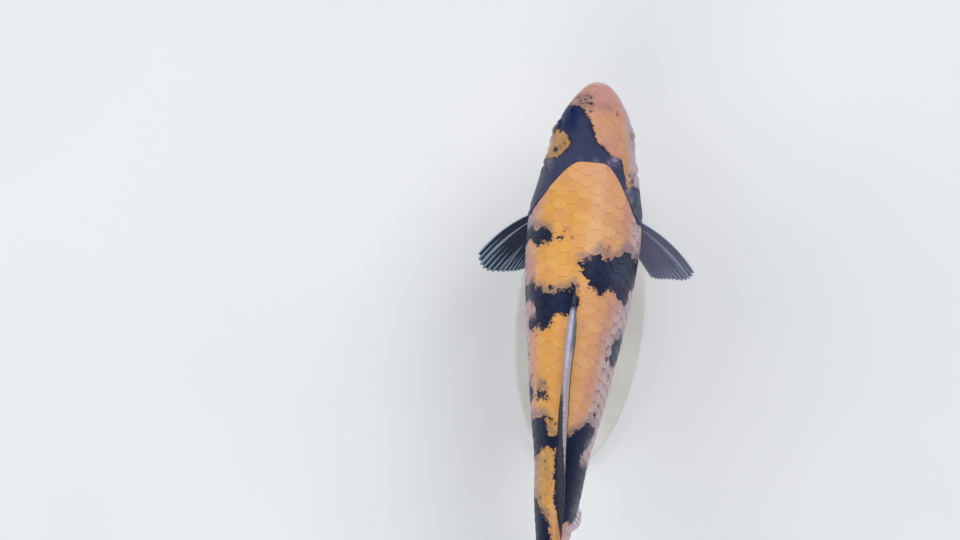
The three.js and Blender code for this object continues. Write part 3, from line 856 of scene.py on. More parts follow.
dorsal = {
    "front": 174, "baseEnd": 352, "tip": 381, "halfWidth": 5.2, "tipLift": 3, "footDepth": 5,
    "places": (0, 0.08, 0.3, 0.5, 0.8, 1), "heights": (0.5, 5.44, 16, 13.44, 10, 0.8),
    "leans": (0, -0.2, 0.3, -0.8, -7.4, -8), "rays": 19, "slant": 0.34,
    "widePlaces": (0, 0.06, 0.15, 0.22, 0.3, 0.37, 0.5, 0.8, 0.9, 1),
    "widths": (0.25, 0.6, 1, 1, 0.82, 0.8, 0.98, 0.8, 0.45, 0.14),
}


def makeDorsal():
    piece, face, level, share = pillow("dorsal_fin_folded", 26, 420)  # level: 0 at the root, 1 at the crest
    station = dorsal["front"] + (dorsal["tip"] - dorsal["front"]) * share
    root = section(station)[1]
    lift = dorsal["tipLift"] * smoothStep(dorsal["baseEnd"], dorsal["tip"], station)
    height = curveThrough(dorsal["places"], dorsal["heights"], share)
    rayLine = (share - dorsal["slant"] * level * smoothStep(0, 0.25, share)) * dorsal["rays"]
    ridge = bell(np.abs(rayLine % 1 - 0.5), 0.16)
    half = dorsal["halfWidth"] * curveThrough(dorsal["widePlaces"], dorsal["widths"], share)
    half = half * (1 - 0.78 * level) * np.sqrt(np.clip((1 - level) / 0.06, 0, 1))
    half = half + np.where(level < 0.98, 0.28 * (ridge - 0.5), 0)
    ends = np.sqrt(np.clip(np.minimum(share / 0.01, (1 - share) / 0.02), 0, 1))
    half = np.maximum(half, 0) * ends
    leans = curveThrough(dorsal["places"], dorsal["leans"], share)
    crestRipple = 0.3 * np.sin(share * dorsal["rays"] * 2 * math.pi) * smoothStep(0.8, 1, level)
    depth = dorsal["footDepth"] * smoothStep(1, 0.88, share)  # the foot reaches this far into the back
    up = root + lift - depth * (1 - level) + (height + crestRipple) * level
    free = smoothStep(dorsal["baseEnd"] - 6, dorsal["tip"], station)
    sideways = midline(station) + face * half + leans * level + leans * (1 - level) * free
    points = np.stack([sideways, snoutY + station, axisHeight + up], -1)
    fields = {"share": share, "reach": level, "rayPlace": rayLine, "face": face}
    finishFin(piece, "dorsal_fin", points, fields)
    return piece


# eyes
def makeEye(side, name):
    width, back = section(np.float64(eye["station"]))[:2]
    cheek = width * (1 - (eye["up"] / back) ** form["fullness"]) ** (1 / form["fullness"])
    centre = place(eye["station"], side * (cheek + eye["proud"] - eye["radius"]), eye["up"])
    bm = bmesh.new()
    bmesh.ops.create_uvsphere(bm, u_segments=64, v_segments=48, radius=1)
    for vert in bm.verts:
        away = math.degrees(math.acos(max(-1, min(1, vert.co.z))))
        vert.co *= eye["radius"] * (1 + eye["bulge"] * math.exp(-(away / eye["bulgeReach"]) ** 2))
    facing = Vector((side, *eye["facing"])).normalized()
    turn = Vector((0, 0, 1)).rotation_difference(facing).to_matrix()
    bmesh.ops.rotate(bm, verts=bm.verts, cent=(0, 0, 0), matrix=turn)
    bmesh.ops.translate(bm, verts=bm.verts, vec=centre)
    bmesh.ops.scale(bm, verts=bm.verts, vec=(mm, mm, mm))
    piece = newPiece(name + "_ball", bm)
    points = readPoints(piece.data) / mm - centre
    cosine = points @ np.array(facing) / np.linalg.norm(points, axis=1)
    away = np.degrees(np.arccos(np.clip(cosine, -1, 1)))
    writeFields(piece.data, {"away": away, "upper": smoothStep(0.5, 3.0, points[:, 2])})
    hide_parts(name)
    return piece


# barbels
barbels = {
    "barbel_lip": {"root": (7, 11, -1), "middle": (7, 14.5, -6), "tip": (11, 15, -12), "radius": 1.1},
    "barbel_mouth": {"root": (15, 18, -9), "middle": (17, 21.5, -19), "tip": (28, 22, -27), "radius": 1.6},
}
feelerShape = {
    "taper": 0.62,
    "ends": 3.2,  # how fast the ends widen
    "ringDepth": 0.04,
    "ringTurns": 70,
}


def makeBarbel(name, side, feeler):
    bends = (feeler["root"], feeler["middle"], feeler["tip"])
    a, b, c = (place(station, side * left, up) for station, left, up in bends)
    bm = bmesh.new()
    bmesh.ops.create_uvsphere(bm, u_segments=16, v_segments=40, radius=1)
    for vert in bm.verts:
        t = min(max((vert.co.z + 1) / 2, 0), 1)
        ring = math.hypot(vert.co.x, vert.co.y) or 1
        middle = (1 - t) ** 2 * a + 2 * t * (1 - t) * b + t * t * c
        along = Vector(unit(2 * (1 - t) * (b - a) + 2 * t * (c - b)))
        first = along.cross(Vector((0, 0, 1))).normalized()
        second = along.cross(first)
        thick = feeler["radius"] * (1 - feelerShape["taper"] * t) * min(1, feelerShape["ends"] * ring)
        thick = thick * (1 + feelerShape["ringDepth"] * math.sin(t * feelerShape["ringTurns"]))
        offset = first * (vert.co.x / ring) * thick + second * (vert.co.y / ring) * thick
        if ring < 1e-4:
            offset = Vector((0, 0, 0))
        vert.co = (Vector(middle) + offset) * mm
    bmesh.ops.recalc_face_normals(bm, faces=bm.faces)
    piece = newPiece(name + "_flesh", bm)
    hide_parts(name)
    return piece


# stand
stand = {"plateBevel": 0.003, "footRounding": 0.0016, "footFlat": 0.45, "rodChamfer": 0.001}  # lengths in m


def makeStandBase():
    low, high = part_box("stand_base")
    size, centre = high - low, (low + high) / 2
    bevel = stand["plateBevel"]
    bm = bmesh.new()
    bmesh.ops.create_circle(bm, cap_ends=True, segments=160, radius=0.5)
    bmesh.ops.scale(bm, verts=bm.verts, vec=(size.x, size.y, 1))
    bmesh.ops.translate(bm, verts=bm.verts, vec=(centre.x, centre.y, low.z))
    made = bmesh.ops.extrude_face_region(bm, geom=bm.faces[:])
    top = [g for g in made["geom"] if isinstance(g, bmesh.types.BMVert)]
    bmesh.ops.translate(bm, verts=top, vec=(0, 0, size.z))
    bmesh.ops.recalc_face_normals(bm, faces=bm.faces)
    rims = [e for e in bm.edges if len(e.link_faces) == 2 and e.calc_face_angle(0) > 1]
    upper = [e for e in rims if e.verts[0].co.z > centre.z]
    lower = [e for e in rims if e.verts[0].co.z < centre.z]
    bmesh.ops.bevel(bm, geom=upper, offset=bevel, segments=5, affect="EDGES", profile=0.5, material=-1)
    bmesh.ops.bevel(bm, geom=lower, offset=bevel / 3, segments=2, affect="EDGES", profile=0.5, material=-1)
    piece = newPiece("stand_base_plate", bm)
    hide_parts("stand_base")
    return piece


def makeTurned(name, node, profile):
    # a steel piece spun about a vertical axis through its solid's middle
    low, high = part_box(node)
    centre = (low + high) / 2
    bm = bmesh.new()
    corners = [bm.verts.new((centre.x + r, centre.y, z)) for r, z in profile]
    edges = [bm.edges.new(pair) for pair in zip(corners, corners[1:])]
    bmesh.ops.spin(bm, geom=corners + edges, cent=(centre.x, centre.y, 0), axis=(0, 0, 1),
                   angle=2 * math.pi, steps=64, use_merge=True)
    bmesh.ops.remove_doubles(bm, verts=bm.verts, dist=0.00001)
    bmesh.ops.recalc_face_normals(bm, faces=bm.faces)
    piece = newPiece(name, bm)
    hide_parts(node)
    return piece


def makeStand():
    plate = makeStandBase()
    steel = []
    rounding, chamfer = stand["footRounding"], stand["rodChamfer"]
    for end in ("front", "rear"):
        for kind, ending in (("foot", "_disc"), ("rod", "_bar")):
            node = "stand_" + kind + "_" + end
            low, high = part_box(node)
            radius, bottom, top = (high.x - low.x) / 2, low.z, high.z
            if kind == "foot":
                arc = [(radius - rounding + rounding * math.sin(a), top - rounding + rounding * math.cos(a))
                       for a in np.linspace(math.pi / 2, 0, 6)]
                rim = arc + [(radius * stand["footFlat"], top)]
            else:
                rim = [(radius, top - chamfer), (radius - chamfer, top)]
            profile = [(0, bottom), (radius, bottom)] + rim + [(0, top)]
            steel.append(makeTurned(node + ending, node, profile))
    print("stand ready")
    return plate, steel


# materials
koiColours = {
    "yellow": "dc9c3e", "ochre": "906a3a", "salmon": "d69e76", "pink": "be8378", "lilac": "a99db4",
    "belly": "dcd2d2", "honey": "dfa650", "rose": "d08c6e", "gold": "d9a858", "rust": "9c5a34",
    "cream": "efcfa6", "copper": "b87440", "deepScale": "b0683a", "paleScale": "f0c88c",
    "edgeWarm": "e8bc80", "edgePink": "d8b4ae", "glint": "e6d6da", "dusk": "9a7c50", "umber": "7d5a44",
    "ink": "101830", "inkSoft": "1c2a50", "inkSide": "1b233c", "headBlack": "1c1e34", "headInk": "363b5a",
    "headGrey": "40435c", "headInkSide": "212a4a", "headInkDeep": "12204e", "veil": "55546a",
    "mistBody": "8c93ad", "mistHead": "8d8a92", "mistPink": "ac94b0", "snout": "c28c86", "brow": "967c6c",
    "freckle": "4a3836", "rim": "cfc4d2", "mottle": "8a7a80", "creaseShade": "7a5450", "tailRoot": "3a3f50",
    "pore": "6d5648", "overlapShade": "9c8c98",
}


def colour(text):
    # a tint's name, or the tint itself as in a paint program; stored linear
    text = koiColours.get(text, text)
    parts = [int(text[i:i + 2], 16) / 255 for i in (0, 2, 4)]
    return [c / 12.92 if c <= 0.04045 else ((c + 0.055) / 1.055) ** 2.4 for c in parts] + [1]


class Nodes:
    # short way to add and link shader nodes
    def __init__(self, tree):
        self.tree = tree

    def feed(self, node, inputs):
        # each input gets a link from another node, a colour written as text, or a plain value
        for key, value in inputs.items():
            self.put(value, node.inputs[key])

    def put(self, value, socket):
        if isinstance(value, bpy.types.NodeSocket):
            self.tree.links.new(value, socket)
        else:
            socket.default_value = colour(value) if isinstance(value, str) else value

    def add(self, kind, inputs=None, **settings):
        node = self.tree.nodes.new(kind)
        for key, value in settings.items():  # before the inputs, as a group's tree makes them
            setattr(node, key, value)
        self.feed(node, inputs or {})
        return node

    def field(self, name):
        return self.add("ShaderNodeAttribute", attribute_name=name).outputs["Fac"]

    def math(self, operation, *values):
        return self.add("ShaderNodeMath", dict(enumerate(values)), operation=operation).outputs[0]

    def chain(self, operation, values):
        total = values[0]
        for value in values[1:]:
            total = self.math(operation, total, value)
        return total

    def plus(self, *values):
        return self.chain("ADD", values)

    def times(self, *values):
        return self.chain("MULTIPLY", values)

    def minus(self, a, b):
        return self.math("SUBTRACT", a, b)

    def swing(self, value, amount, middle=0.5):
        return self.times(self.minus(value, middle), amount)

    def ramp(self, value, low, high, toLow=0.0, toHigh=1.0, smooth=True):
        inputs = {"Value": value, "From Min": low, "From Max": high, "To Min": toLow, "To Max": toHigh}
        kind = "SMOOTHSTEP" if smooth else "LINEAR"
        return self.add("ShaderNodeMapRange", inputs, interpolation_type=kind).outputs[0]

    def mix(self, share, a, b, blend="MIX"):
        node = self.add("ShaderNodeMix", data_type="RGBA", blend_type=blend, clamp_factor=True)
        sockets = {socket.identifier: socket for socket in node.inputs}
        for key, value in (("Factor_Float", share), ("A_Color", a), ("B_Color", b)):
            self.put(value, sockets[key])
        return next(s for s in node.outputs if s.identifier == "Result_Color")

    def layers(self, tint, rows):
        # each row lays one more tint over the ones before: its share, the tint, and how it blends
        for share, *laid in rows:
            tint = self.mix(share, tint, *laid)
        return tint

    def noise(self, scale, detail, roughness, vector):
        inputs = {"Scale": scale, "Detail": detail, "Roughness": roughness, "Vector": vector}
        return self.add("ShaderNodeTexNoise", inputs).outputs["Fac"]

    def place(self):
        return self.add("ShaderNodeTexCoord").outputs["Object"]

    def stretched(self, vector, scale):
        return self.add("ShaderNodeMapping", {"Vector": vector, "Scale": scale}).outputs[0]

    def group(self, tree, inputs):
        return self.add("ShaderNodeGroup", inputs, node_tree=tree).outputs

    def bump(self, height, distance, strength):
        inputs = {"Height": height, "Distance": distance, "Strength": strength}
        return self.add("ShaderNodeBump", inputs).outputs[0]


def newMaterial(name):
    material = bpy.data.materials.new(name)
    material.use_nodes = True
    material.node_tree.nodes.clear()
    n = Nodes(material.node_tree)
    shader = n.add("ShaderNodeBsdfPrincipled")
    n.add("ShaderNodeOutputMaterial", {"Surface": shader.outputs[0]})
    return material, n, shader


def newGroup(name, inputs, outputs):
    # a node group with number inputs: its tree, its nodes, what it is given and where its results go
    tree = bpy.data.node_groups.new(name, "ShaderNodeTree")
    for socketName in inputs:
        tree.interface.new_socket(name=socketName, in_out="INPUT", socket_type="NodeSocketFloat")
    for socketName, kind in outputs.items():
        tree.interface.new_socket(name=socketName, in_out="OUTPUT", socket_type="NodeSocket" + kind)
    n = Nodes(tree)
    return tree, n, n.add("NodeGroupInput").outputs, n.add("NodeGroupOutput")


def koiPaint():
    # node group: the living colours from the fields, the same on skin and scales
    inputs = ("Ink", "Head", "Shade", "Edge", "Veil")
    tree, n, given, out = newGroup("koiPaint", inputs, {"Color": "Color", "Black": "Float"})
    head, shade, pinkField, paleField = given["Head"], given["Shade"], n.field("pink"), n.field("pale")
    place = n.place()
    broad = n.noise(55, 4, 0.6, place)
    blotch = n.noise(95, 3, 0.6, place)
    middling = n.noise(170, 4, 0.62, place)
    fine = n.noise(420, 5, 0.65, place)
    grain = n.noise(1500, 3, 0.6, place)
    tone = n.plus(n.field("tone"), n.swing(middling, 1.3))
    pink = n.plus(pinkField, n.swing(middling, 0.9, 0.55))
    pale = n.plus(paleField, n.swing(fine, 0.8))
    ochre = n.times(head, n.ramp(middling, 0.3, 0.6, 0.6, 1))
    rimTint = n.mix(pinkField, "edgeWarm", "edgePink")
    glint = n.times(n.ramp(n.noise(400, 2, 0.5, place), 0.58, 0.72), n.ramp(pinkField, 0.1, 0.8, 0.05, 0.2))
    warm = n.layers("yellow", [
        (ochre, "ochre"),
        (n.ramp(tone, 0, 1, 0, 1, False), "salmon"),
        (n.ramp(pink, 0.1, 1, 0, 0.85), "pink"),
        (n.ramp(pale, 0.1, 1, 0, 0.9), "lilac"),
        (n.field("white"), "belly"),
        (n.ramp(broad, 0.4, 0.75, 0, 0.35), "honey"),
        (n.ramp(blotch, 0.5, 0.72, 0, 0.35), "rose"),
        (n.ramp(blotch, 0.48, 0.3, 0, 0.35), "gold"),
        (n.ramp(grain, 0.45, 0.75, 0, 0.22), "rust"),
        (n.ramp(fine, 0.57, 0.7, 0, 0.28), "cream"),
        (n.ramp(fine, 0.44, 0.34, 0, 0.25), "copper"),
        (n.ramp(shade, 0.5, 1, 0, 0.12, False), "deepScale"),
        (n.ramp(shade, 0.5, 0, 0, 0.12, False), "paleScale"),
        (n.times(given["Edge"], n.ramp(middling, 0.35, 0.65, 0.1, 1)), rimTint),
        (given["Veil"], "veil"),
        (n.times(glint, n.minus(1, head)), "glint"),
        (n.times(n.field("dusk"), n.ramp(middling, 0.3, 0.65, 0.3, 1)), "dusk"),
    ])
    # the patches' edge in mm, frayed by noise, and finer on the head
    wobble = n.plus(n.swing(fine, 10), n.swing(grain, 4), n.swing(middling, 6))
    edge = n.plus(given["Ink"], n.times(wobble, n.ramp(head, 0, 1, 1, 0.62, False)))
    soft = n.ramp(head, 0, 1, 0.4, 0.75, False)
    black = n.ramp(edge, n.times(soft, -1), soft)
    umber = n.times(n.ramp(edge, -1.6, 0.2), n.ramp(middling, 0.35, 0.6, 0.1, 0.75))
    sideShare = n.ramp(paleField, 0, 1, 0, 0.7)
    inkBody = n.layers("ink", [
        (n.ramp(middling, 0.4, 0.75, 0, 0.7), "inkSoft"),
        (sideShare, "inkSide"),
    ])
    inkHead = n.layers("headBlack", [
        (n.ramp(edge, 0.3, 4), "headInk"),
        (n.ramp(broad, 0.35, 0.7, 0, 0.4), "headGrey"),
        (sideShare, "headInkSide"),
        (n.field("navy"), "headInkDeep"),
    ])
    mistTint = n.mix(head, "mistBody", n.mix(n.ramp(pinkField, 0.05, 0.3), "mistHead", "mistPink"))
    misted = n.times(n.field("mist"), n.ramp(fine, 0.28, 0.66))
    dark = n.mix(misted, n.mix(head, inkBody, inkHead), mistTint)
    n.feed(out, {"Color": n.mix(black, n.mix(umber, warm, "umber"), dark), "Black": black})
    return tree


def wetLook(n, black):
    # the gloss of wet skin, held back on the black
    return {
        "Specular IOR Level": n.ramp(black, 0, 1, 0.3, 0.11),
        "Coat Weight": n.ramp(black, 0, 1, 0.12, 0.05),
        "Coat Roughness": 0.12,
    }


def skinMaterial(paint):
    material, n, shader = newMaterial("koi skin")
    painted = n.group(paint, {"Ink": n.field("ink"), "Head": n.field("head"), "Shade": 0.5})
    place, station, lean = n.place(), n.field("station"), n.field("lean")
    mottle = n.noise(260, 4, 0.6, place)
    clear = n.minus(1, painted["Black"])
    brow = n.times(n.ramp(station, 9, 14), n.ramp(station, 32, 24))
    brow = n.times(brow, n.ramp(lean, -2, 12), n.ramp(lean, 100, 70), clear)
    freckle = n.ramp(n.noise(1, 3, 0.6, n.stretched(place, (150, 420, 300))), 0.54, 0.62)
    tint = n.layers(painted["Color"], [
        (n.times(n.ramp(station, 42, 8), clear, 0.7), "snout"),
        (n.times(brow, n.ramp(mottle, 0.3, 0.6, 0.25, 0.85)), "brow"),
        (n.times(freckle, brow, 0.75), "freckle"),
        # the lips' pale edge at the snout's tip, with a painted highlight along it
        (n.times(n.ramp(n.plus(station, n.times(mottle, 2)), 4.6, 1.8), 0.45), "rim"),
        (n.ramp(mottle, 0.35, 0.7, 0, 0.12), "mottle", "MULTIPLY"),
        # painted shade multiplied into the head's grooves and pits and behind its edge
        (n.times(n.field("creaseShade"), 0.75), "creaseShade", "MULTIPLY"),
        # painted shade where the tail fin's lobes join the stalk
        (n.ramp(n.plus(station, n.times(mottle, 8)), 454, 463, 0, 0.75), "tailRoot"),
    ])
    relief = n.plus(n.noise(700, 4, 0.6, place), n.times(n.noise(2600, 2, 0.5, place), 0.4))
    n.feed(shader, {
        "Base Color": tint, "Roughness": n.ramp(mottle, 0.3, 0.7, 0.36, 0.5),
        "Normal": n.bump(relief, 0.00035, 0.5), **wetLook(n, painted["Black"]),
    })
    return material


def scaleMaterial(paint):
    material, n, shader = newMaterial("koi scales")
    reach, across, place = n.field("reach"), n.field("across"), n.place()

    def away(ahead):
        # distance from a point ahead of the plate's middle
        return n.math("SQRT", n.plus(n.math("POWER", n.plus(reach, ahead), 2), n.math("POWER", across, 2)))

    flank = n.ramp(n.field("pale"), 0.1, 0.9)
    edge = n.times(n.ramp(away(0), 0.7, 1), n.ramp(reach, -0.1, 0.5), n.ramp(flank, 0, 1, 0.12, 0.75))
    veil = n.times(n.field("veil"), 0.62)
    painted = n.group(paint, {"Ink": n.field("ink"), "Shade": n.field("shade"), "Edge": edge, "Veil": veil})
    # painted shade on each plate's root, where the plate ahead overlaps it, stronger down the flank
    overlapShade = n.times(n.ramp(reach, 0.45, -0.25), n.ramp(flank, 0, 1, 0.02, 0.6))
    tint = n.layers(painted["Color"], [
        (n.times(n.field("pore"), 0.55), "pore"),
        (overlapShade, "overlapShade", "MULTIPLY"),
    ])
    rings = n.math("SINE", n.times(away(1.1), 46))
    radial = n.math("SINE", n.times(n.math("ARCTAN2", across, n.plus(reach, 1.15)), 60))
    dome = n.minus(1, n.math("POWER", across, 2))
    grain = n.times(n.noise(1300, 3, 0.6, place), 0.2)
    height = n.plus(n.times(rings, 0.05), n.times(radial, 0.05), grain, n.times(dome, 0.8))
    roughness = n.ramp(n.noise(900, 3, 0.6, place), 0.3, 0.7, 0.32, 0.5)
    n.feed(shader, {
        "Base Color": tint, "Roughness": roughness, "Normal": n.bump(height, 0.0005, 0.6),
        **wetLook(n, painted["Black"]),
    })
    return material


def finGroup():
    # node group: pale rays on dark membrane, with forks and joints, from the fin's own fields
    tree, n, given, out = newGroup("finRays", ("Width", "Fork", "Twig"), {"Ray": "Float", "Joint": "Float"})
    reach = n.field("reach")
    local = n.math("ABSOLUTE", n.minus(n.math("FRACT", n.field("rayPlace")), 0.5))
    fork = n.times(n.ramp(reach, 0.5, 0.9), given["Fork"])
    twig = n.times(n.ramp(reach, 0.65, 1), given["Twig"])
    off = n.math("ABSOLUTE", n.minus(n.math("ABSOLUTE", n.minus(local, fork)), twig))
    width = n.times(given["Width"], n.minus(1, n.times(twig, 4)))
    joint = n.ramp(n.math("SINE", n.times(reach, 210)), 0.75, 1)
    n.feed(out, {"Ray": n.ramp(off, width, n.times(width, 0.35)), "Joint": joint})
    return tree


finLooks = {
    "left pectoral fin": {"membrane": "141d32", "warm": "1f2a3e", "ray": "93a7bd", "width": 0.11},
    "right pectoral fin": {
        "membrane": "545870", "warm": "605e74", "ray": "9db0c6", "width": 0.11, "rayStart": 0.88,
    },
    "pelvic fins": {"forks": twiceForked, "width": 0.16, "rayStart": 0.6},
    "anal fin": {
        "forks": twiceForked, "width": 0.16, "rayStart": 0.3, "membrane": "9c7488", "warm": "b08e98",
        "ray": "e0d2dc",
    },
    "tail fin": {"forks": twiceForked, "width": 0.16, "rayStart": 0.45, "rayShow": 0.7, "edge": 0.012},
}
plainLook = {
    "rayStart": 0.75,  # share of the way out where the rays turn pale
    "rayShow": 0.95,
    "membrane": "141a26",
    "warm": "222834",
    "ray": "b4c2d4",
    "edge": 0.03,  # share of the fin that its pale leading ray takes
    "width": 0.13,  # half a ray's width, where 1 is the distance between two rays
    "forks": (0.12, 0),
}


def finMaterial(rays, name):
    look = {**plainLook, **finLooks[name]}
    material, n, shader = newMaterial(name)
    lines = n.group(rays, {"Width": look["width"], "Fork": look["forks"][0], "Twig": look["forks"][1]})
    share, reach, place = n.field("share"), n.field("reach"), n.place()
    start = look["rayStart"]
    shown = n.ramp(reach, start - 0.2, start + 0.2, 0.04, look["rayShow"])
    between = n.times(n.minus(1, lines["Ray"]), n.ramp(reach, 0.55, 0.9, 0.1, 0.8))
    lead = n.times(n.ramp(share, look["edge"] * 1.5, look["edge"] * 0.6), n.ramp(reach, 0.02, 0.2, 0.5, 1))
    tint = n.layers(look["membrane"], [
        (n.ramp(n.noise(240, 3, 0.6, place), 0.35, 0.7), look["warm"]),
        (n.times(lines["Ray"], shown), look["ray"]),
        (n.times(n.field("pale"), n.minus(1, between)), n.mix(n.ramp(reach, 0.5, 0.9), "8f96a4", "98aec4")),
        (lead, "d2dfec"),
        (n.times(lines["Joint"], 0.1), "14161c"),
    ])
    height = n.minus(lines["Ray"], n.times(lines["Joint"], 0.25))
    height = n.plus(height, n.times(n.noise(1800, 2, 0.5, place), 0.3))
    n.feed(shader, {
        "Base Color": tint, "Roughness": 0.42, "Specular IOR Level": 0.22, "Coat Weight": 0.1,
        "Coat Roughness": 0.15, "Normal": n.bump(height, 0.00025, 0.6),
    })
    return material


def dorsalMaterial(rays):
    material, n, shader = newMaterial("folded dorsal fin")
    ray = n.group(rays, {"Width": 0.16, "Fork": 0.2, "Twig": 0})["Ray"]
    share, reach = n.field("share"), n.field("reach")
    streak = n.noise(300, 4, 0.6, n.place())
    dark = n.mix(n.ramp(streak, 0.35, 0.7), "0a0e1e", "161d38")
    pale = n.mix(n.ramp(streak, 0.3, 0.7), "a0969e", "bfb0b0")
    # both faces start pale and turn black: the left a third of the way back, the right two thirds
    left = n.ramp(n.field("face"), -0.2, 0.2)
    limit = n.ramp(left, 0, 1, 0.64, 0.36, False)
    rear = n.plus(n.minus(n.minus(share, limit), n.times(reach, 0.06)), n.swing(streak, 0.16))
    # painted shade along the fin's foot where it meets the back, reaching higher up the right face than the
    # left
    foot = n.ramp(n.minus(reach, n.ramp(left, 0, 1, 0.46, 0.3, False)), 0, -0.14)
    fineLine = n.times(n.ramp(reach, 0.98, 0.995), n.ramp(share, 0.66, 0.58, 0.1, 0.6))
    broadLine = n.times(n.ramp(reach, 0.84, 0.93), n.ramp(share, 0.4, 0.28))
    crestTint = n.mix(n.ramp(streak, 0.35, 0.65), "a09fbe", "bcb8d0")
    tint = n.layers(pale, [
        (n.ramp(n.times(n.minus(1, left), n.ramp(share, 0.28, 0.2)), 0, 1), "66757f"),
        (n.ramp(rear, -0.05, 0.05), dark),
        # painted shade at the fin's foot
        (n.times(foot, n.ramp(share, 0.02, 0.1), 0.9), "2a2732"),
        (n.math("MAXIMUM", fineLine, broadLine), crestTint),
        (n.times(n.ramp(reach, 0.28, 0.12), n.ramp(share, 0.84, 0.88), left, 0.75), "c8b0b2"),
        (n.ramp(share, 0.955, 0.985, 0, 0.8), "7a4450"),
        (n.ramp(n.plus(share, n.times(streak, 0.02)), 0.105, 0.08), dark),
        (n.times(ray, 0.07), "c9ccd6"),
    ])
    n.feed(shader, {
        "Base Color": tint, "Roughness": 0.45, "Specular IOR Level": 0.15, "Coat Weight": 0.05,
        "Coat Roughness": 0.15, "Normal": n.bump(n.plus(ray, n.times(streak, 0.3)), 0.0003, 0.5),
    })
    return material


def eyeMaterial(name, lid):
    material, n, shader = newMaterial(name)
    away = n.field("away")  # degrees from the pupil's middle
    fibres = n.noise(900, 4, 0.65, n.place())
    frayed = n.plus(away, n.swing(fibres, 3))
    iris = n.mix(n.ramp(fibres, 0.3, 0.7), "5d5140", "a08a5c")
    tint = n.layers("050506", [
        (n.ramp(away, 22, 23.2), n.mix(n.ramp(frayed, 24, 26.5), "b09a68", iris)),
        (n.ramp(frayed, 34, 41), "1c1e28"),
        (n.times(n.field("upper"), n.ramp(away, 24, 30)), lid),
    ])
    n.feed(shader, {
        "Base Color": tint, "Roughness": 0.18, "Coat Weight": 1, "Coat Roughness": 0.02, "Coat IOR": 1.45,
    })
    return material


def barbelMaterial():
    material, n, shader = newMaterial("koi barbel")
    speck = n.noise(900, 3, 0.6, n.place())
    n.feed(shader, {
        "Base Color": n.mix(n.ramp(speck, 0.35, 0.7), "d8a592", "c08a7a"), "Roughness": 0.35,
        "Coat Weight": 0.5, "Coat Roughness": 0.12, "Normal": n.bump(speck, 0.0002, 0.5),
    })
    return material


def paintMaterial():
    material, n, shader = newMaterial("stand paint")
    place = n.place()
    cloudy = n.noise(40, 3, 0.5, place)
    n.feed(shader, {
        "Base Color": n.mix(n.ramp(cloudy, 0.35, 0.7), "cfcdc8", "c6c4be"),
        "Roughness": n.ramp(cloudy, 0.3, 0.7, 0.38, 0.48),
        "Normal": n.bump(n.noise(900, 2, 0.5, place), 0.00012, 0.25),
    })
    return material


def steelMaterial():
    material, n, shader = newMaterial("stand steel")
    brush = n.noise(1, 3, 0.6, n.stretched(n.place(), (260, 260, 3000)))
    n.feed(shader, {
        "Base Color": n.mix(n.ramp(brush, 0.3, 0.7), "a9adb3", "c4c8cd"), "Metallic": 1,
        "Roughness": n.ramp(brush, 0.3, 0.7, 0.24, 0.36), "Normal": n.bump(brush, 0.00005, 0.3),
    })
    return material


def floorMaterial():
    material, n, shader = newMaterial("pale floor")
    tint = n.mix(n.ramp(n.noise(3, 2, 0.5, n.place()), 0.3, 0.7), "dfe1e3", "e4e5e6")
    n.feed(shader, {"Base Color": tint, "Roughness": 0.8})
    return material


def give(piece, material):
    piece.data.materials.clear()
    piece.data.materials.append(material)


# camera, floor and light
view = {
    "target": (0.0835, -0.0373, axisHeight * mm),
    "lean": 6.7,  # degrees towards the fish's right
    "roll": 5.712,
    "distance": 1.1098,
    "sensor": 36,
    "seen": (1.1, 0.814),  # from this many metres away, this many metres across
}


def addCamera():
    data = bpy.data.cameras.new("camera")
    data.sensor_width = view["sensor"]
    data.lens = view["sensor"] * view["seen"][0] / view["seen"][1]
    camera = bpy.data.objects.new("camera", data)
    lean, roll = math.radians(view["lean"]), math.radians(view["roll"])
    back = Vector((-math.sin(lean), 0, math.cos(lean)))
    up = Vector((0, -1, 0))
    right = up.cross(back).normalized()
    up = back.cross(right)
    turnedRight = right * math.cos(roll) + up * math.sin(roll)
    turnedUp = up * math.cos(roll) - right * math.sin(roll)
    camera.matrix_world = Matrix.Translation(Vector(view["target"]) + back * view["distance"]) @ Matrix(
        (turnedRight, turnedUp, back)).transposed().to_4x4()
    bpy.context.scene.collection.objects.link(camera)
    bpy.context.scene.camera = camera


studio = {
    "floor": 6,
    "aim": (0, 0, 0.12),
    "sky": (0.93, 0.96, 1, 1),
    "skyStrength": 0.55,
}


def addFloor():
    bm = bmesh.new()
    bmesh.ops.create_grid(bm, x_segments=1, y_segments=1, size=studio["floor"])
    mesh = bpy.data.meshes.new("floor")
    bm.to_mesh(mesh)
    bm.free()
    floor = bpy.data.objects.new("floor", mesh)
    bpy.context.scene.collection.objects.link(floor)
    floor.data.materials.append(floorMaterial())


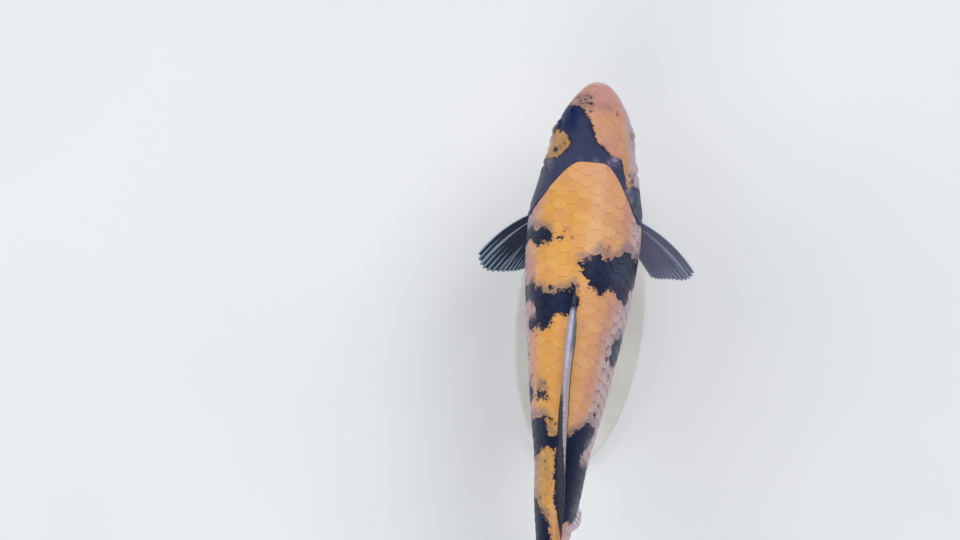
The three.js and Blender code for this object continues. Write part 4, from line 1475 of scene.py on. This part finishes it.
lamps = {
    "key": {"at": (-1.2, -1.3, 2.2), "size": 1.6, "power": 29},
    "fill": {"at": (1.8, -0.4, 1.6), "size": 2.2, "power": 17},
    "rear": {"at": (0.3, 2.0, 1.7), "size": 1.8, "power": 17},
}


def addLamps():
    for name, lamp in lamps.items():
        data = bpy.data.lights.new(name, "AREA")
        data.shape = "DISK"
        data.size = lamp["size"]
        data.energy = lamp["power"]
        light = bpy.data.objects.new(name, data)
        light.location = lamp["at"]
        aim = Vector(studio["aim"]) - Vector(lamp["at"])
        light.rotation_euler = aim.to_track_quat("-Z", "Y").to_euler()
        bpy.context.scene.collection.objects.link(light)
    world = bpy.data.worlds.new("studio")
    bpy.context.scene.world = world
    world.use_nodes = True
    background = world.node_tree.nodes["Background"]
    background.inputs["Color"].default_value = studio["sky"]
    background.inputs["Strength"].default_value = studio["skyStrength"]


# put it together
bpy.context.scene.view_settings.view_transform = "Standard"
addCamera()
addFloor()
addLamps()
print("camera, floor and lamps ready")

paint = koiPaint()
rayGroup = finGroup()
skinPiece = makeSkin()
give(skinPiece, skinMaterial(paint))

allRoots = scaleRoots()
template = scaleTemplate()
scalePaint = scaleMaterial(paint)
for sideName, chosen in (("left", allRoots[:, 1] >= 0), ("right", allRoots[:, 1] < 0)):
    give(makeScales("scales_" + sideName, allRoots[chosen], template), scalePaint)

finMaterials = {lookName: finMaterial(rayGroup, lookName) for lookName in finLooks}
for finName, fin in fins.items():
    give(makeFin(finName, fin), finMaterials[fin["look"]])
give(makeDorsal(), dorsalMaterial(rayGroup))

barbelLook = barbelMaterial()
for side, sideName in ((1, "left"), (-1, "right")):
    give(makeEye(side, "eye_" + sideName), eyeMaterial("koi eye " + sideName, eye["lids"][sideName]))
    for barbelName, feeler in barbels.items():
        give(makeBarbel(barbelName + "_" + sideName, side, feeler), barbelLook)
print("eyes and barbels ready")

plate, steelPieces = makeStand()
give(plate, paintMaterial())
steelLook = steelMaterial()
for steelPiece in steelPieces:
    give(steelPiece, steelLook)
